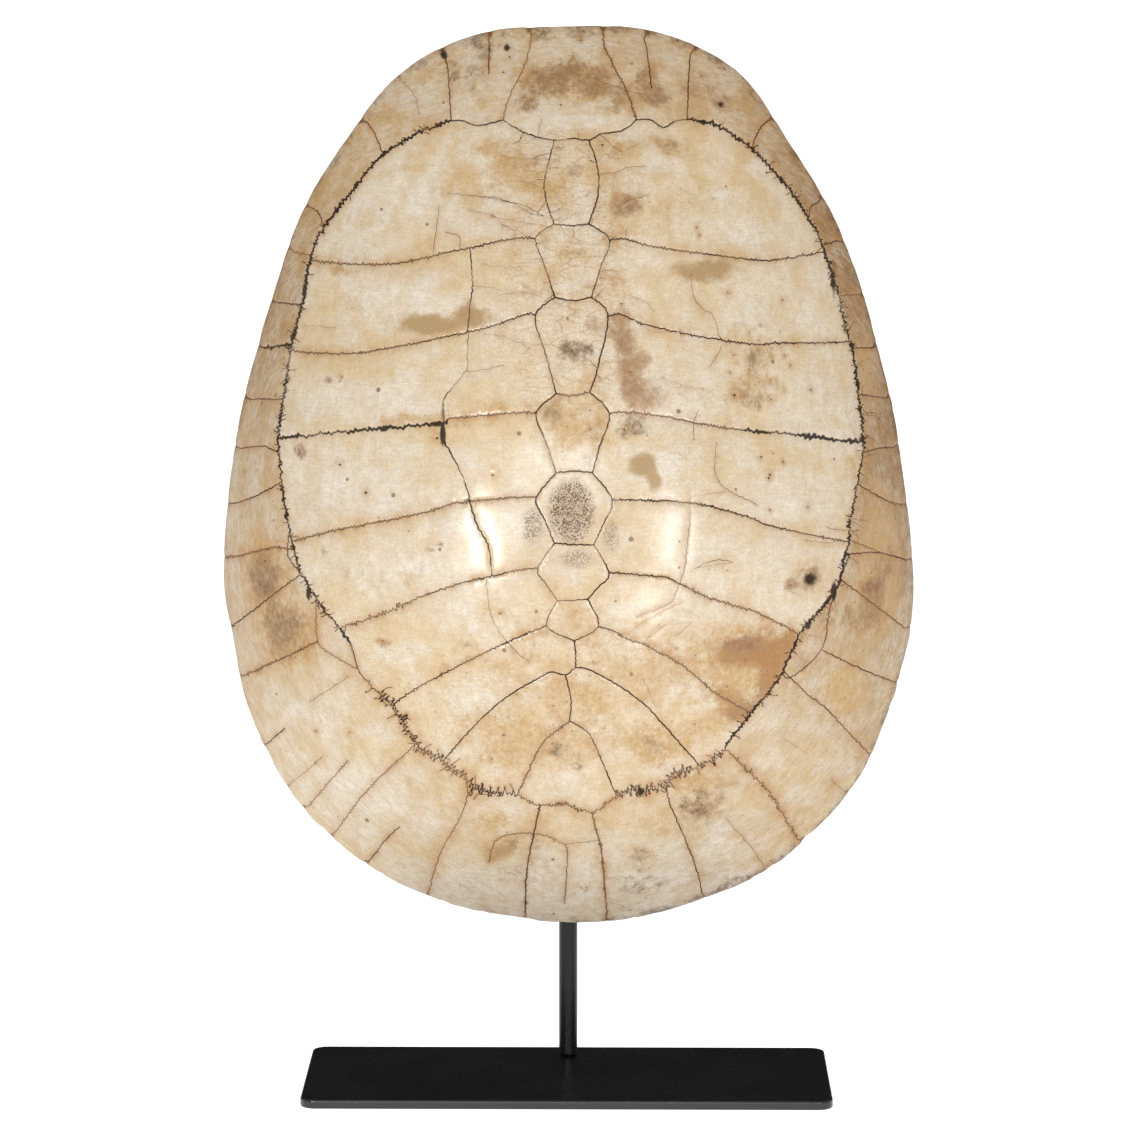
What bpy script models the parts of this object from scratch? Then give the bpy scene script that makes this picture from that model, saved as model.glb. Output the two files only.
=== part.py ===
"""Mounted turtle carapace: one bone shell held by a black steel rod on a flat plate.

The origin is the centre of the plate's underside, +Z is up and the shell's outer
face looks towards -Y.  Every size below is in millimetres.
"""
import math

import bmesh
import bpy
from mathutils import Matrix, Vector

MM = 0.001
GAP = 0.3                    # clearance left between pieces that touch

# Plate and rod: half-inch round bar on a 14 x 5.5 inch plate.
PLATE_WIDTH = 356.0
PLATE_DEPTH = 140.0
PLATE_THICK = 6.0
PLATE_CORNER = 10.0
PLATE_EDGE = 1.2
ROD_RADIUS = 6.35
ROD_Y = 48.8
ROD_TOP = 456.0
ROD_END_BEVEL = 1.5

# Carapace, measured on its outer face.  The crown is the pole its rings are drawn round.
CROWN_Y = -46.0
CROWN_Z = 370.0
LEAN = 0.087                 # the shell leans back from the rod by five degrees
SIDE_DEPTH = 137.0           # how far the rim lies behind the crown
HEAD_DEPTH = 112.0
TAIL_DEPTH = 102.0
SIDE_BEND = 0.00136          # crown curvature across the shell, 1/mm
HEAD_BEND = 0.00080          # and along it, towards the head and the tail
TAIL_BEND = 0.00110
RIM_STEEPNESS_SIDE = 5.0     # how late the dome turns down to the rim
RIM_STEEPNESS_END = 4.0
# Distance from the crown to the rim every ten degrees, from the viewer's right over the head.
RIM_RADII = (
    235, 233, 237, 245, 260, 280, 302, 332, 343, 341.5, 342, 331,
    305, 283, 261, 247, 239.5, 236, 237, 241.5, 246, 254, 261, 266,
    267.5, 267, 266, 266, 267, 267, 269, 266.5, 262.5, 254, 248.5, 241.5,
)
RINGS = 17
SPOKES = 72
BONE_THICK = 6.0
RIM_THICK = 8.5
RIDGE_THICK = 12.0           # over the backbone, which is fused to the inner face
RIDGE_HALF_WIDTH = 15.0

# Arms that carry the shell, one near the crown and one towards the tail.
ARM_RADIUS = 4.75
UPPER_SEAT_Z = 438.0
LOWER_SEAT_Z = 258.0
DISC_RADIUS = 20.0
DISC_THICK = 4.0
FELT_RADIUS = 19.0
FELT_THICK = 2.0
SEAT_GAP = 0.9               # the felt is flat and the bone is hollow

SCREW_PITCH = 24.0           # distance between the two screws of a disc
SCREW_RADIUS = 1.9
SCREW_HEAD_RADIUS = 3.8
SCREW_HEAD_HEIGHT = 2.2
SCREW_SLOT = (0.9, 1.0)      # width and depth
SCREW_IN_BONE = 6.5
HOLE_PLAY = 0.5

BASE_SCREW_RADIUS = 3.0
BASE_SCREW_HEAD_RADIUS = 6.0
BASE_SCREW_HEAD_HEIGHT = 3.2
BASE_SCREW_LENGTH = 24.0
BASE_SCREW_KEY = 2.3         # radius of its hexagon socket
BASE_SCREW_KEY_DEPTH = 2.0
BASE_SCREW_SUNK = 0.4        # below the plate's underside
BASE_SCREW_POINT = 0.8       # chamfer of its end
BORE_SPARE = 3.0             # the tapped hole is deeper than the screw

ARM_SIDES = 32
ROD_SIDES = 48
DISC_SIDES = 40
SCREW_SIDES = 20
HOLE_SIDES = 16
BASE_HOLE_SIDES = 24
PAST = 1.0                   # a cutter stands this far past what it cuts
PILOT_SPARE = 0.8            # the hole in the bone is deeper than its screw
SCREW_TIP_LENGTH = 2.5
SCREW_TIP_RADIUS = 0.4
SCREW_DOME_SHARE = 0.7       # flat part of a screw head, as a share of its radius


# ---------------------------------------------------------------- scene and helpers

for old in list(bpy.data.objects):
    bpy.data.objects.remove(old, do_unlink=True)

collection = bpy.data.collections.new("mounted_carapace")
bpy.context.scene.collection.children.link(collection)
cutter_collection = bpy.data.collections.new("cutters")
bpy.context.scene.collection.children.link(cutter_collection)


def make_material(name, colour, roughness, metallic=0.0):
    material = bpy.data.materials.new(name)
    material.use_nodes = True
    shader = material.node_tree.nodes["Principled BSDF"]
    shader.inputs["Base Color"].default_value = (*colour, 1.0)
    shader.inputs["Roughness"].default_value = roughness
    shader.inputs["Metallic"].default_value = metallic
    return material


BONE = make_material("aged_bone", (0.72, 0.62, 0.46), 0.42)
BLACK_STEEL = make_material("black_painted_steel", (0.012, 0.012, 0.013), 0.38)
FELT = make_material("charcoal_felt", (0.03, 0.03, 0.03), 0.95)
ZINC = make_material("zinc_screw", (0.55, 0.55, 0.53), 0.35, 1.0)


def add_piece(name, bm, material, smooth_angle=35.0, closed=True):
    """Turn a bmesh in millimetres into a named object in metres."""
    if closed:
        bmesh.ops.recalc_face_normals(bm, faces=bm.faces)
    bmesh.ops.scale(bm, vec=(MM, MM, MM), verts=bm.verts)
    mesh = bpy.data.meshes.new(name)
    bm.to_mesh(mesh)
    bm.free()
    mesh.materials.append(material)
    mesh.shade_smooth()
    mesh.set_sharp_from_angle(angle=math.radians(smooth_angle))
    piece = bpy.data.objects.new(name, mesh)
    collection.objects.link(piece)
    return piece


def add_cutter(name, bm, placement):
    bmesh.ops.recalc_face_normals(bm, faces=bm.faces)
    bmesh.ops.transform(bm, matrix=placement, verts=bm.verts)
    bmesh.ops.scale(bm, vec=(MM, MM, MM), verts=bm.verts)
    mesh = bpy.data.meshes.new(name)
    bm.to_mesh(mesh)
    bm.free()
    cutter = bpy.data.objects.new(name, mesh)
    cutter.hide_render = True
    cutter.display_type = "WIRE"
    cutter_collection.objects.link(cutter)
    return cutter


def cut(piece, cutter):
    """Take the cutter away from the piece with a live Boolean."""
    boolean = piece.modifiers.new("cut_" + cutter.name, "BOOLEAN")
    boolean.operation = "DIFFERENCE"
    boolean.object = cutter


def bevel(piece, width, segments=2, angle=40.0):
    modifier = piece.modifiers.new("soft_edges", "BEVEL")
    modifier.width = width * MM
    modifier.segments = segments
    modifier.limit_method = "ANGLE"
    modifier.angle_limit = math.radians(angle)


def cylinder(radius, low, high, sides=32):
    """A capped cylinder along Z from low to high."""
    bm = bmesh.new()
    bmesh.ops.create_cone(
        bm, cap_ends=True, segments=sides, radius1=radius, radius2=radius, depth=high - low,
        matrix=Matrix.Translation((0, 0, (low + high) / 2)),
    )
    return bm


# ---------------------------------------------------------------- carapace form

def rim_radius(angle):
    """Smooth closed curve through RIM_RADII, angle in radians."""
    count = len(RIM_RADII)
    place = (angle / (2 * math.pi)) % 1.0 * count
    index = int(place)
    t = place - index
    a, b, c, d = (RIM_RADII[(index + k) % count] for k in (-1, 0, 1, 2))
    return b + 0.5 * t * (c - a + t * (2 * a - 5 * b + 4 * c - d + t * (3 * (b - c) + d - a)))


def dome_y(x, z):
    """Y of the outer face above a point given across (x) and up from the crown (z)."""
    angle = math.atan2(z, x)
    share = math.hypot(x, z) / rim_radius(angle)
    end = math.sin(angle) ** 2
    end_depth = HEAD_DEPTH if z > 0 else TAIL_DEPTH
    end_bend = HEAD_BEND if z > 0 else TAIL_BEND
    rim_depth = SIDE_DEPTH + (end_depth - SIDE_DEPTH) * end
    steepness = RIM_STEEPNESS_SIDE + (RIM_STEEPNESS_END - RIM_STEEPNESS_SIDE) * end
    bowl = SIDE_BEND * x * x + end_bend * z * z
    if share < 1e-6:
        return CROWN_Y
    rim_bowl = bowl / share ** 2
    return CROWN_Y + LEAN * z + bowl + (rim_depth - rim_bowl) * share ** steepness


def dome_normal(x, z):
    """Unit normal of the outer face, pointing away from the hollow."""
    step = 0.5
    slope_x = (dome_y(x + step, z) - dome_y(x - step, z)) / (2 * step)
    slope_z = (dome_y(x, z + step) - dome_y(x, z - step)) / (2 * step)
    return Vector((slope_x, -1.0, slope_z)).normalized()


def bone_thickness(x, z):
    """Thin plates, a thicker rim and the backbone's ridge along the middle."""
    share = math.hypot(x, z) / rim_radius(math.atan2(z, x))
    rim = (RIM_THICK - BONE_THICK) * max(0.0, (share - 0.8) / 0.2) ** 2
    ridge_fade = max(0.0, 1.0 - (share / 0.85) ** 4)
    ridge = (RIDGE_THICK - BONE_THICK) * math.exp(-(x / RIDGE_HALF_WIDTH) ** 2) * ridge_fade
    return BONE_THICK + max(rim, ridge)


def build_carapace():
    """Half a UV sphere gives the rings and spokes, which are moved onto the dome.

    The sheet is open and keeps the sphere's outward faces, so Solidify grows into the hollow.
    """
    bm = bmesh.new()
    bmesh.ops.create_uvsphere(bm, u_segments=SPOKES, v_segments=2 * RINGS, radius=1.0)
    below = [v for v in bm.verts if v.co.z < -0.01]
    bmesh.ops.delete(bm, geom=below, context="VERTS")
    depth = bm.verts.layers.deform.verify()
    for v in bm.verts:
        share = math.acos(min(1.0, v.co.z)) / (math.pi / 2)
        angle = math.atan2(v.co.y, v.co.x)
        reach = share * rim_radius(angle)
        x = reach * math.cos(angle)
        z = reach * math.sin(angle)
        v.co = (x, dome_y(x, z), CROWN_Z + z)
        v[depth][0] = bone_thickness(x, z) / RIDGE_THICK
    piece = add_piece("carapace", bm, BONE, 60.0, closed=False)
    piece.vertex_groups.new(name="bone_thickness")
    wall = piece.modifiers.new("bone_wall", "SOLIDIFY")
    wall.thickness = RIDGE_THICK * MM
    wall.offset = -1.0
    wall.use_rim = True
    wall.vertex_group = "bone_thickness"
    return piece


# ---------------------------------------------------------------- stand

def build_base_plate():
    bm = bmesh.new()
    size = (PLATE_WIDTH, PLATE_DEPTH, PLATE_THICK, 1.0)
    bmesh.ops.create_cube(
        bm, size=1.0,
        matrix=Matrix.Translation((0, 0, PLATE_THICK / 2)) @ Matrix.Diagonal(size),
    )
    uprights = [e for e in bm.edges if abs(e.verts[0].co.z - e.verts[1].co.z) > 1.0]
    bmesh.ops.bevel(
        bm, geom=uprights, offset=PLATE_CORNER, offset_type="OFFSET", segments=8,
        profile=0.5, affect="EDGES", material=-1,
    )
    piece = add_piece("base_plate", bm, BLACK_STEEL)
    bevel(piece, PLATE_EDGE, segments=3, angle=50.0)
    at_rod = Matrix.Translation((0, ROD_Y, 0))
    hole = cylinder(BASE_SCREW_RADIUS + HOLE_PLAY, -PAST, PLATE_THICK + PAST, BASE_HOLE_SIDES)
    cut(piece, add_cutter("plate_hole", hole, at_rod))
    sink = bmesh.new()
    sink_depth = BASE_SCREW_HEAD_HEIGHT + HOLE_PLAY + PAST
    bmesh.ops.create_cone(
        sink, cap_ends=True, segments=BASE_HOLE_SIDES,
        radius1=BASE_SCREW_HEAD_RADIUS + HOLE_PLAY + PAST, radius2=BASE_SCREW_RADIUS + HOLE_PLAY,
        depth=sink_depth, matrix=Matrix.Translation((0, 0, sink_depth / 2 - PAST)),
    )
    cut(piece, add_cutter("plate_countersink", sink, at_rod))
    return piece


def build_rod():
    bottom = PLATE_THICK + GAP
    at_rod = Matrix.Translation((0, ROD_Y, 0))
    bm = cylinder(ROD_RADIUS, bottom, ROD_TOP, ROD_SIDES)
    bmesh.ops.transform(bm, matrix=at_rod, verts=bm.verts)
    piece = add_piece("upright_rod", bm, BLACK_STEEL)
    bevel(piece, ROD_END_BEVEL, segments=2, angle=60.0)
    bore_top = BASE_SCREW_LENGTH + BORE_SPARE
    bore = cylinder(BASE_SCREW_RADIUS + HOLE_PLAY, bottom - PAST, bore_top, BASE_HOLE_SIDES)
    cut(piece, add_cutter("rod_tapped_hole", bore, at_rod))
    return piece


def build_base_screw():
    """Countersunk machine screw from under the plate into the rod."""
    profile = (
        (0.0, BASE_SCREW_SUNK),
        (BASE_SCREW_HEAD_RADIUS, BASE_SCREW_SUNK),
        (BASE_SCREW_RADIUS, BASE_SCREW_HEAD_HEIGHT + BASE_SCREW_SUNK),
        (BASE_SCREW_RADIUS, BASE_SCREW_LENGTH - BASE_SCREW_POINT),
        (BASE_SCREW_RADIUS - BASE_SCREW_POINT, BASE_SCREW_LENGTH),
        (0.0, BASE_SCREW_LENGTH),
    )
    bm = turned(profile, BASE_HOLE_SIDES)
    at_rod = Matrix.Translation((0, ROD_Y, 0))
    bmesh.ops.transform(bm, matrix=at_rod, verts=bm.verts)
    piece = add_piece("base_screw", bm, ZINC)
    key = cylinder(BASE_SCREW_KEY, -PAST, BASE_SCREW_SUNK + BASE_SCREW_KEY_DEPTH, 6)
    cut(piece, add_cutter("base_screw_socket", key, at_rod))
    return piece


def turned(profile, sides):
    """Spin a profile of (radius, height) points a full turn about Z."""
    bm = bmesh.new()
    points = [bm.verts.new((radius, 0.0, height)) for radius, height in profile]
    edges = [bm.edges.new(pair) for pair in zip(points, points[1:])]
    bmesh.ops.spin(
        bm, geom=points + edges, cent=(0, 0, 0), axis=(0, 0, 1), angle=2 * math.pi,
        steps=sides, use_merge=True,
    )
    bmesh.ops.remove_doubles(bm, verts=bm.verts, dist=0.01)
    return bm


# ---------------------------------------------------------------- shell mount

def seat_frame(seat_z):
    """Frame on the bone's inner face at the middle line: its Z points into the bone."""
    across = 0.0
    up = seat_z - CROWN_Z
    normal = dome_normal(across, up)
    outer = Vector((across, dome_y(across, up), seat_z))
    inner = outer - normal * bone_thickness(across, up)
    side = Vector((1, 0, 0))
    frame = Matrix((side, normal.cross(side), normal)).transposed().to_4x4()
    frame.translation = inner
    return frame


def screw_places():
    """The two screws of a disc, one above and one below its middle."""
    return [(sign * SCREW_PITCH / 2, name) for sign, name in ((1, "top"), (-1, "bottom"))]


def build_mount(label, seat_z, carapace):
    """Arm, disc, felt and two screws that hold the bone at one seat."""
    frame = seat_frame(seat_z)
    felt_front = -SEAT_GAP
    felt_back = felt_front - FELT_THICK
    disc_front = felt_back - GAP
    disc_back = disc_front - DISC_THICK
    head_front = disc_back - GAP

    def ring_with_holes(name, radius, low, high, material):
        bm = cylinder(radius, low, high, DISC_SIDES)
        bmesh.ops.transform(bm, matrix=frame, verts=bm.verts)
        piece = add_piece(name, bm, material)
        for offset, place in screw_places():
            hole = cylinder(SCREW_RADIUS + HOLE_PLAY, low - PAST, high + PAST, HOLE_SIDES)
            at_screw = frame @ Matrix.Translation((0, offset, 0))
            cut(piece, add_cutter(name + "_hole_" + place, hole, at_screw))
        return piece

    ring_with_holes(label + "_felt_pad", FELT_RADIUS, felt_back, felt_front, FELT)
    ring_with_holes(label + "_disc", DISC_RADIUS, disc_back, disc_front, BLACK_STEEL)

    for offset, place in screw_places():
        at_screw = frame @ Matrix.Translation((0, offset, 0))
        pilot_end = SCREW_IN_BONE + PILOT_SPARE
        pilot = cylinder(SCREW_RADIUS + HOLE_PLAY, -BONE_THICK, pilot_end, HOLE_SIDES)
        cut(carapace, add_cutter(label + "_pilot_" + place, pilot, at_screw))
        profile = (
            (0.0, head_front - SCREW_HEAD_HEIGHT),
            (SCREW_HEAD_RADIUS * SCREW_DOME_SHARE, head_front - SCREW_HEAD_HEIGHT),
            (SCREW_HEAD_RADIUS, head_front - SCREW_HEAD_HEIGHT / 2),
            (SCREW_HEAD_RADIUS, head_front),
            (SCREW_RADIUS, head_front),
            (SCREW_RADIUS, SCREW_IN_BONE - SCREW_TIP_LENGTH),
            (SCREW_TIP_RADIUS, SCREW_IN_BONE),
            (0.0, SCREW_IN_BONE),
        )
        bm = turned(profile, SCREW_SIDES)
        bmesh.ops.transform(bm, matrix=at_screw, verts=bm.verts)
        screw = add_piece(label + "_screw_" + place, bm, ZINC)
        width, depth = SCREW_SLOT
        slot = bmesh.new()
        slot_middle = head_front - SCREW_HEAD_HEIGHT     # half of the cutter stands clear
        bmesh.ops.create_cube(
            slot, size=1.0,
            matrix=Matrix.Translation((0, 0, slot_middle))
            @ Matrix.Diagonal((4 * SCREW_HEAD_RADIUS, width, 2 * depth, 1.0)),
        )
        cut(screw, add_cutter(label + "_slot_" + place, slot, at_screw))

    build_arm(label, frame, disc_back)


def build_arm(label, frame, disc_back):
    """Round bar from the rod forward to the disc, coped to the rod and mitred to the disc."""
    disc_centre = frame @ Vector((0, 0, disc_back))
    length = ROD_Y - disc_centre.y
    overshoot = 12.0                 # trimmed off again by the disc's own plane
    reach = 30.0                     # half the height of the two cutters below
    along_y = Matrix.Rotation(math.radians(-90), 4, "X")
    start = Matrix.Translation((0, disc_centre.y - overshoot, disc_centre.z))
    bm = cylinder(ARM_RADIUS, 0.0, length + overshoot, ARM_SIDES)
    bmesh.ops.transform(bm, matrix=start @ along_y, verts=bm.verts)
    inward = (frame.to_3x3() @ Vector((0, 0, -1))).normalized()
    trimmed = bmesh.ops.bisect_plane(
        bm, geom=bm.verts[:] + bm.edges[:] + bm.faces[:], dist=0.001,
        plane_co=disc_centre + inward * GAP, plane_no=inward, clear_inner=True,
    )
    open_edges = [e for e in trimmed["geom_cut"] if isinstance(e, bmesh.types.BMEdge)]
    bmesh.ops.contextual_create(bm, geom=open_edges)
    piece = add_piece(label + "_arm", bm, BLACK_STEEL)
    cope = cylinder(ROD_RADIUS + GAP, disc_centre.z - reach, disc_centre.z + reach, ROD_SIDES)
    cut(piece, add_cutter(label + "_cope", cope, Matrix.Translation((0, ROD_Y, 0))))
    back = bmesh.new()
    behind_rod = Matrix.Translation((0, reach, disc_centre.z))
    bmesh.ops.create_cube(back, size=2 * reach, matrix=behind_rod)
    cut(piece, add_cutter(label + "_back_half", back, Matrix.Translation((0, ROD_Y, 0))))
    return piece


# ---------------------------------------------------------------- the whole object

carapace_piece = build_carapace()
build_base_plate()
build_rod()
build_base_screw()
build_mount("upper", UPPER_SEAT_Z, carapace_piece)
build_mount("lower", LOWER_SEAT_Z, carapace_piece)
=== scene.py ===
# %% [markdown]
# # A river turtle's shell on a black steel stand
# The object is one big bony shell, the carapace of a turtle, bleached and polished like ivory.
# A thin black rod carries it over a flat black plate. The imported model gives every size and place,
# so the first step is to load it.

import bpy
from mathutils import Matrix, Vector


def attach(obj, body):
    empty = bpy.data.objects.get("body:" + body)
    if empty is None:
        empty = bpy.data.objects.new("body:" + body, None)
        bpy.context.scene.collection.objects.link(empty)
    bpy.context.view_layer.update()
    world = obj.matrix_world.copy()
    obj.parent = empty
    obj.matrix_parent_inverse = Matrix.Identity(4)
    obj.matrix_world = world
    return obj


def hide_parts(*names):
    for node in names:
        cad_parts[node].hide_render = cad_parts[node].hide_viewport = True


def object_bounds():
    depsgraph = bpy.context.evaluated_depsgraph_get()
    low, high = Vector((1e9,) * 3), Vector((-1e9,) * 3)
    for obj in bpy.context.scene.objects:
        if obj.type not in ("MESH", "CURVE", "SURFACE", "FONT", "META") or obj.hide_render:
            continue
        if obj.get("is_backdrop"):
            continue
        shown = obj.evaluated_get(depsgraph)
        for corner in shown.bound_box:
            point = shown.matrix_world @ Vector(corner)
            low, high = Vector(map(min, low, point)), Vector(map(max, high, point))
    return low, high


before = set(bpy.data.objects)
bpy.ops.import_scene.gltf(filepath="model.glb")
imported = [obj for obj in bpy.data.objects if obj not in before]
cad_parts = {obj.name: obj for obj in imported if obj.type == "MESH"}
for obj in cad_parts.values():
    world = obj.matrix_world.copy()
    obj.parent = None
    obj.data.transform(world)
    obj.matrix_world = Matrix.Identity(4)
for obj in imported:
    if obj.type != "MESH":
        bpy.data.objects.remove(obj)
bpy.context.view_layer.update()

# %% Tools for the whole lesson
import math
import random

import bmesh
import bpy
import numpy as np
from mathutils import Matrix, Vector, noise
from mathutils.geometry import delaunay_2d_cdt
from mathutils.kdtree import KDTree

MM = 0.001
dice = random.Random(7)
scene = bpy.context.scene

# %% [markdown]
# ## Camera
# A long lens three metres away looks a little down on the stand, as a seller shows such a piece.
# A long lens keeps the oval of the shell free of stretching. The turn is given as two angles, so
# the camera stays level.

# %% The camera
LENS = 137.07            # mm, on a 36 mm sensor
CAMERA_PLACE = (0.0315, -2.869, 0.791)
LOOK_DOWN, LOOK_LEFT = 0.1512, 0.0106   # radians
camera_data = bpy.data.cameras.new("camera")
camera_data.lens = LENS
camera_data.sensor_width = 36
camera_data.clip_end = 200
camera = bpy.data.objects.new("camera", camera_data)
camera.location = CAMERA_PLACE
camera.rotation_euler = (math.pi / 2 - LOOK_DOWN, 0, LOOK_LEFT)
scene.collection.objects.link(camera)
scene.camera = camera
scene.view_settings.view_transform = "Standard"
print("camera", camera_data.lens, "mm")

# %% [markdown]
# ## Shader groups that several finishes share
# Bone, steel, felt and floor all need clouds of uneven tone and small specks. A node group is
# a recipe that is built once and then placed in each material with its own sizes. These two groups
# put out plain masks from 0 to 1. Both read the piece's own place in metres, so a pattern keeps
# its real size.

# %% Helpers for node trees
def socket(tree, name, direction, kind, value=None):
    """Adds one input or output to a group, with its starting value."""
    made = tree.interface.new_socket(name=name, in_out=direction, socket_type="NodeSocket" + kind)
    if value is not None:
        made.default_value = value
    return made


class Wiring:
    """Short names for the steps that build a node tree."""

    def __init__(self, tree):
        self.tree = tree

    def node(self, kind, **settings):
        made = self.tree.nodes.new(kind)
        for name, value in settings.items():
            setattr(made, name, value)
        return made

    def put(self, target, value):
        if isinstance(value, bpy.types.NodeSocket):
            self.tree.links.new(value, target)
        else:
            target.default_value = value

    def maths(self, operation, a, b):
        made = self.node("ShaderNodeMath", operation=operation)
        for target, value in zip(made.inputs, (a, b, 0.0)):
            self.put(target, value)
        return made.outputs[0]

    def plus(self, a, b):
        return self.maths("ADD", a, b)

    def minus(self, a, b):
        return self.maths("SUBTRACT", a, b)

    def times(self, a, b):
        return self.maths("MULTIPLY", a, b)

    def larger(self, a, b):
        return self.maths("MAXIMUM", a, b)

    def between(self, value, low, high, to_low=0.0, to_high=1.0):
        """Turns low to high into to_low to to_high, with soft ends."""
        made = self.node("ShaderNodeMapRange", interpolation_type="SMOOTHSTEP", clamp=True)
        for target, given in zip(made.inputs, (value, low, high, to_low, to_high)):
            self.put(target, given)
        return made.outputs[0]

    def blend(self, share, first, second, way="MIX"):
        """Lays the second colour over the first by a share from 0 to 1."""
        made = self.node("ShaderNodeMix", data_type="RGBA", blend_type=way, clamp_factor=True)
        self.put(made.inputs[0], share)
        self.put(made.inputs[6], first)
        self.put(made.inputs[7], second)
        return made.outputs[2]

    def cloud(self, place, scale, detail=4.0, rough=0.55):
        made = self.node("ShaderNodeTexNoise", noise_dimensions="3D")
        self.put(made.inputs["Vector"], place)
        for name, value in (("Scale", scale), ("Detail", detail), ("Roughness", rough)):
            self.put(made.inputs[name], value)
        return made.outputs[0]

    def stretch(self, place, scale):
        made = self.node("ShaderNodeMapping", vector_type="POINT")
        self.put(made.inputs["Vector"], place)
        made.inputs["Scale"].default_value = scale
        return made.outputs[0]


def new_group(name, inputs, outputs):
    """Starts a node group; gives its tree, its wiring, and its inputs and outputs inside."""
    tree = bpy.data.node_groups.new(name, "ShaderNodeTree")
    for given_name, kind, value in inputs:
        socket(tree, given_name, "INPUT", kind, value)
    for given_name in outputs:
        socket(tree, given_name, "OUTPUT", "Float")
    wires = Wiring(tree)
    return tree, wires, wires.node("NodeGroupInput").outputs, wires.node("NodeGroupOutput").inputs


def use_group(wires, tree, **values):
    """Places a group in a material with the values given."""
    made = wires.node("ShaderNodeGroup", node_tree=tree)
    for name, value in values.items():
        wires.put(made.inputs[name], value)
    return made.outputs

# %% Two groups: clouds and specks
clouds_group, wires, inside, out = new_group(
    "uneven_clouds",
    [("Place", "Vector", None), ("Scale", "Float", 20.0), ("Low", "Float", 0.4),
     ("High", "Float", 0.6)],
    ["Mask"],
)
broad = wires.cloud(inside["Place"], inside["Scale"], 5.0, 0.6)
wires.put(out["Mask"], wires.between(broad, inside["Low"], inside["High"]))

specks_group, wires, inside, out = new_group(
    "small_specks",
    [("Place", "Vector", None), ("Scale", "Float", 200.0), ("Size", "Float", 0.3),
     ("Share", "Float", 0.3)],
    ["Mask"],
)
cells = wires.node("ShaderNodeTexVoronoi", voronoi_dimensions="3D", feature="F1")
wires.put(cells.inputs["Vector"], inside["Place"])
wires.put(cells.inputs["Scale"], inside["Scale"])
split = wires.node("ShaderNodeSeparateColor")
wires.put(split.inputs[0], cells.outputs["Color"])
chosen = wires.maths("LESS_THAN", split.outputs[0], inside["Share"])
dot_size = wires.times(inside["Size"], wires.plus(split.outputs[1], 0.4))
dot = wires.between(cells.outputs["Distance"], wires.times(dot_size, 0.5), dot_size, 1.0, 0.0)
wires.put(out["Mask"], wires.times(dot, chosen))
print("groups:", clouds_group.name, specks_group.name)

# %% A helper that starts a material
def new_material(name):
    """A new material with its wiring, its shader, and the place on the piece in metres."""
    made = bpy.data.materials.new(name)
    made.use_nodes = True
    wires = Wiring(made.node_tree)
    shader = next(n for n in made.node_tree.nodes if n.type == "BSDF_PRINCIPLED")
    place = wires.node("ShaderNodeTexCoord").outputs["Object"]
    return made, wires, shader, place


def set_shader(shader, **values):
    """Sets what is the same all over a finish straight on the shader."""
    for name, value in values.items():
        shader.inputs[name.replace("_", " ")].default_value = value

# %% [markdown]
# ## The floor and the light
# The floor is a plain white sheet, with a white wall far round it that only the camera sees. Two
# tall narrow lamps stand at the front left and right, a shorter one low on the right, and a wide
# flat one above the camera. They draw the strips of shine on the crown and light nothing else. Two
# soft glows, a high one and a low one, light the face of the shell and show in no reflection, and
# a white sky fills in the rest. A dark screen far behind is seen only by reflections: it keeps the
# black plate black.

# %% The floor
def mesh_object(name, bm, material=None):
    """Turns a finished bmesh into an object in the scene."""
    mesh = bpy.data.meshes.new(name)
    bm.to_mesh(mesh)
    bm.free()
    if material is not None:
        mesh.materials.append(material)
    made = bpy.data.objects.new(name, mesh)
    scene.collection.objects.link(made)
    return made


floor_paper, wires, shader, place = new_material("floor_paper")
paper_tone = use_group(wires, clouds_group, Place=place, Scale=0.6, Low=0.3, High=0.7)["Mask"]
wires.put(shader.inputs["Base Color"],
          wires.blend(paper_tone, (0.80, 0.80, 0.80, 1), (0.83, 0.83, 0.83, 1)))
set_shader(shader, Roughness=0.9, Specular_IOR_Level=0.1,
           Emission_Color=(1, 1, 1, 1), Emission_Strength=0.84)

FLOOR_HALF = 60     # m
bm = bmesh.new()
bmesh.ops.create_grid(bm, x_segments=1, y_segments=1, size=FLOOR_HALF)
floor = mesh_object("floor", bm, floor_paper)
floor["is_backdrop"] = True

BACKDROP_FAR, BACKDROP_HIGH = 30, 20     # m
bm = bmesh.new()
bmesh.ops.create_circle(bm, segments=96, radius=BACKDROP_FAR)
wall = bmesh.ops.extrude_edge_only(bm, edges=bm.edges)["geom"]
wall_top = [g for g in wall if isinstance(g, bmesh.types.BMVert)]
bmesh.ops.translate(bm, verts=wall_top, vec=(0, 0, BACKDROP_HIGH))
backdrop = mesh_object("backdrop", bm, floor_paper)
backdrop.visible_diffuse = False
backdrop.visible_glossy = False
backdrop.visible_shadow = False
backdrop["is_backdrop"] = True
print("floor, m wide:", 2 * FLOOR_HALF, "backdrop, m off and high:", BACKDROP_FAR, BACKDROP_HIGH)

# %% The lamps
TARGET = Vector((0, 0, 0.37))     # the crown of the shell
SKY_STRENGTH = 0.52
# name, azimuth and elevation in degrees, then distance, width and height in metres, and watts
STRIPS = (
    ("strip_left", -19.9, 3.4, 3.0, 0.12, 0.56, 17),
    ("strip_right", 23.6, 4.0, 3.0, 0.12, 0.36, 9),
    ("strip_low_right", 20.0, -8.5, 1.7, 0.09, 0.24, 1.9),
    ("brow", -2.0, 12.5, 3.0, 0.9, 0.34, 8),
)
GLOWS = (
    ("front_glow", 0, 34, 3.4, 2.4, 1.6, 44),
    ("low_glow", 0, -19, 1.05, 1.3, 0.12, 0.45),
)


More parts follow.
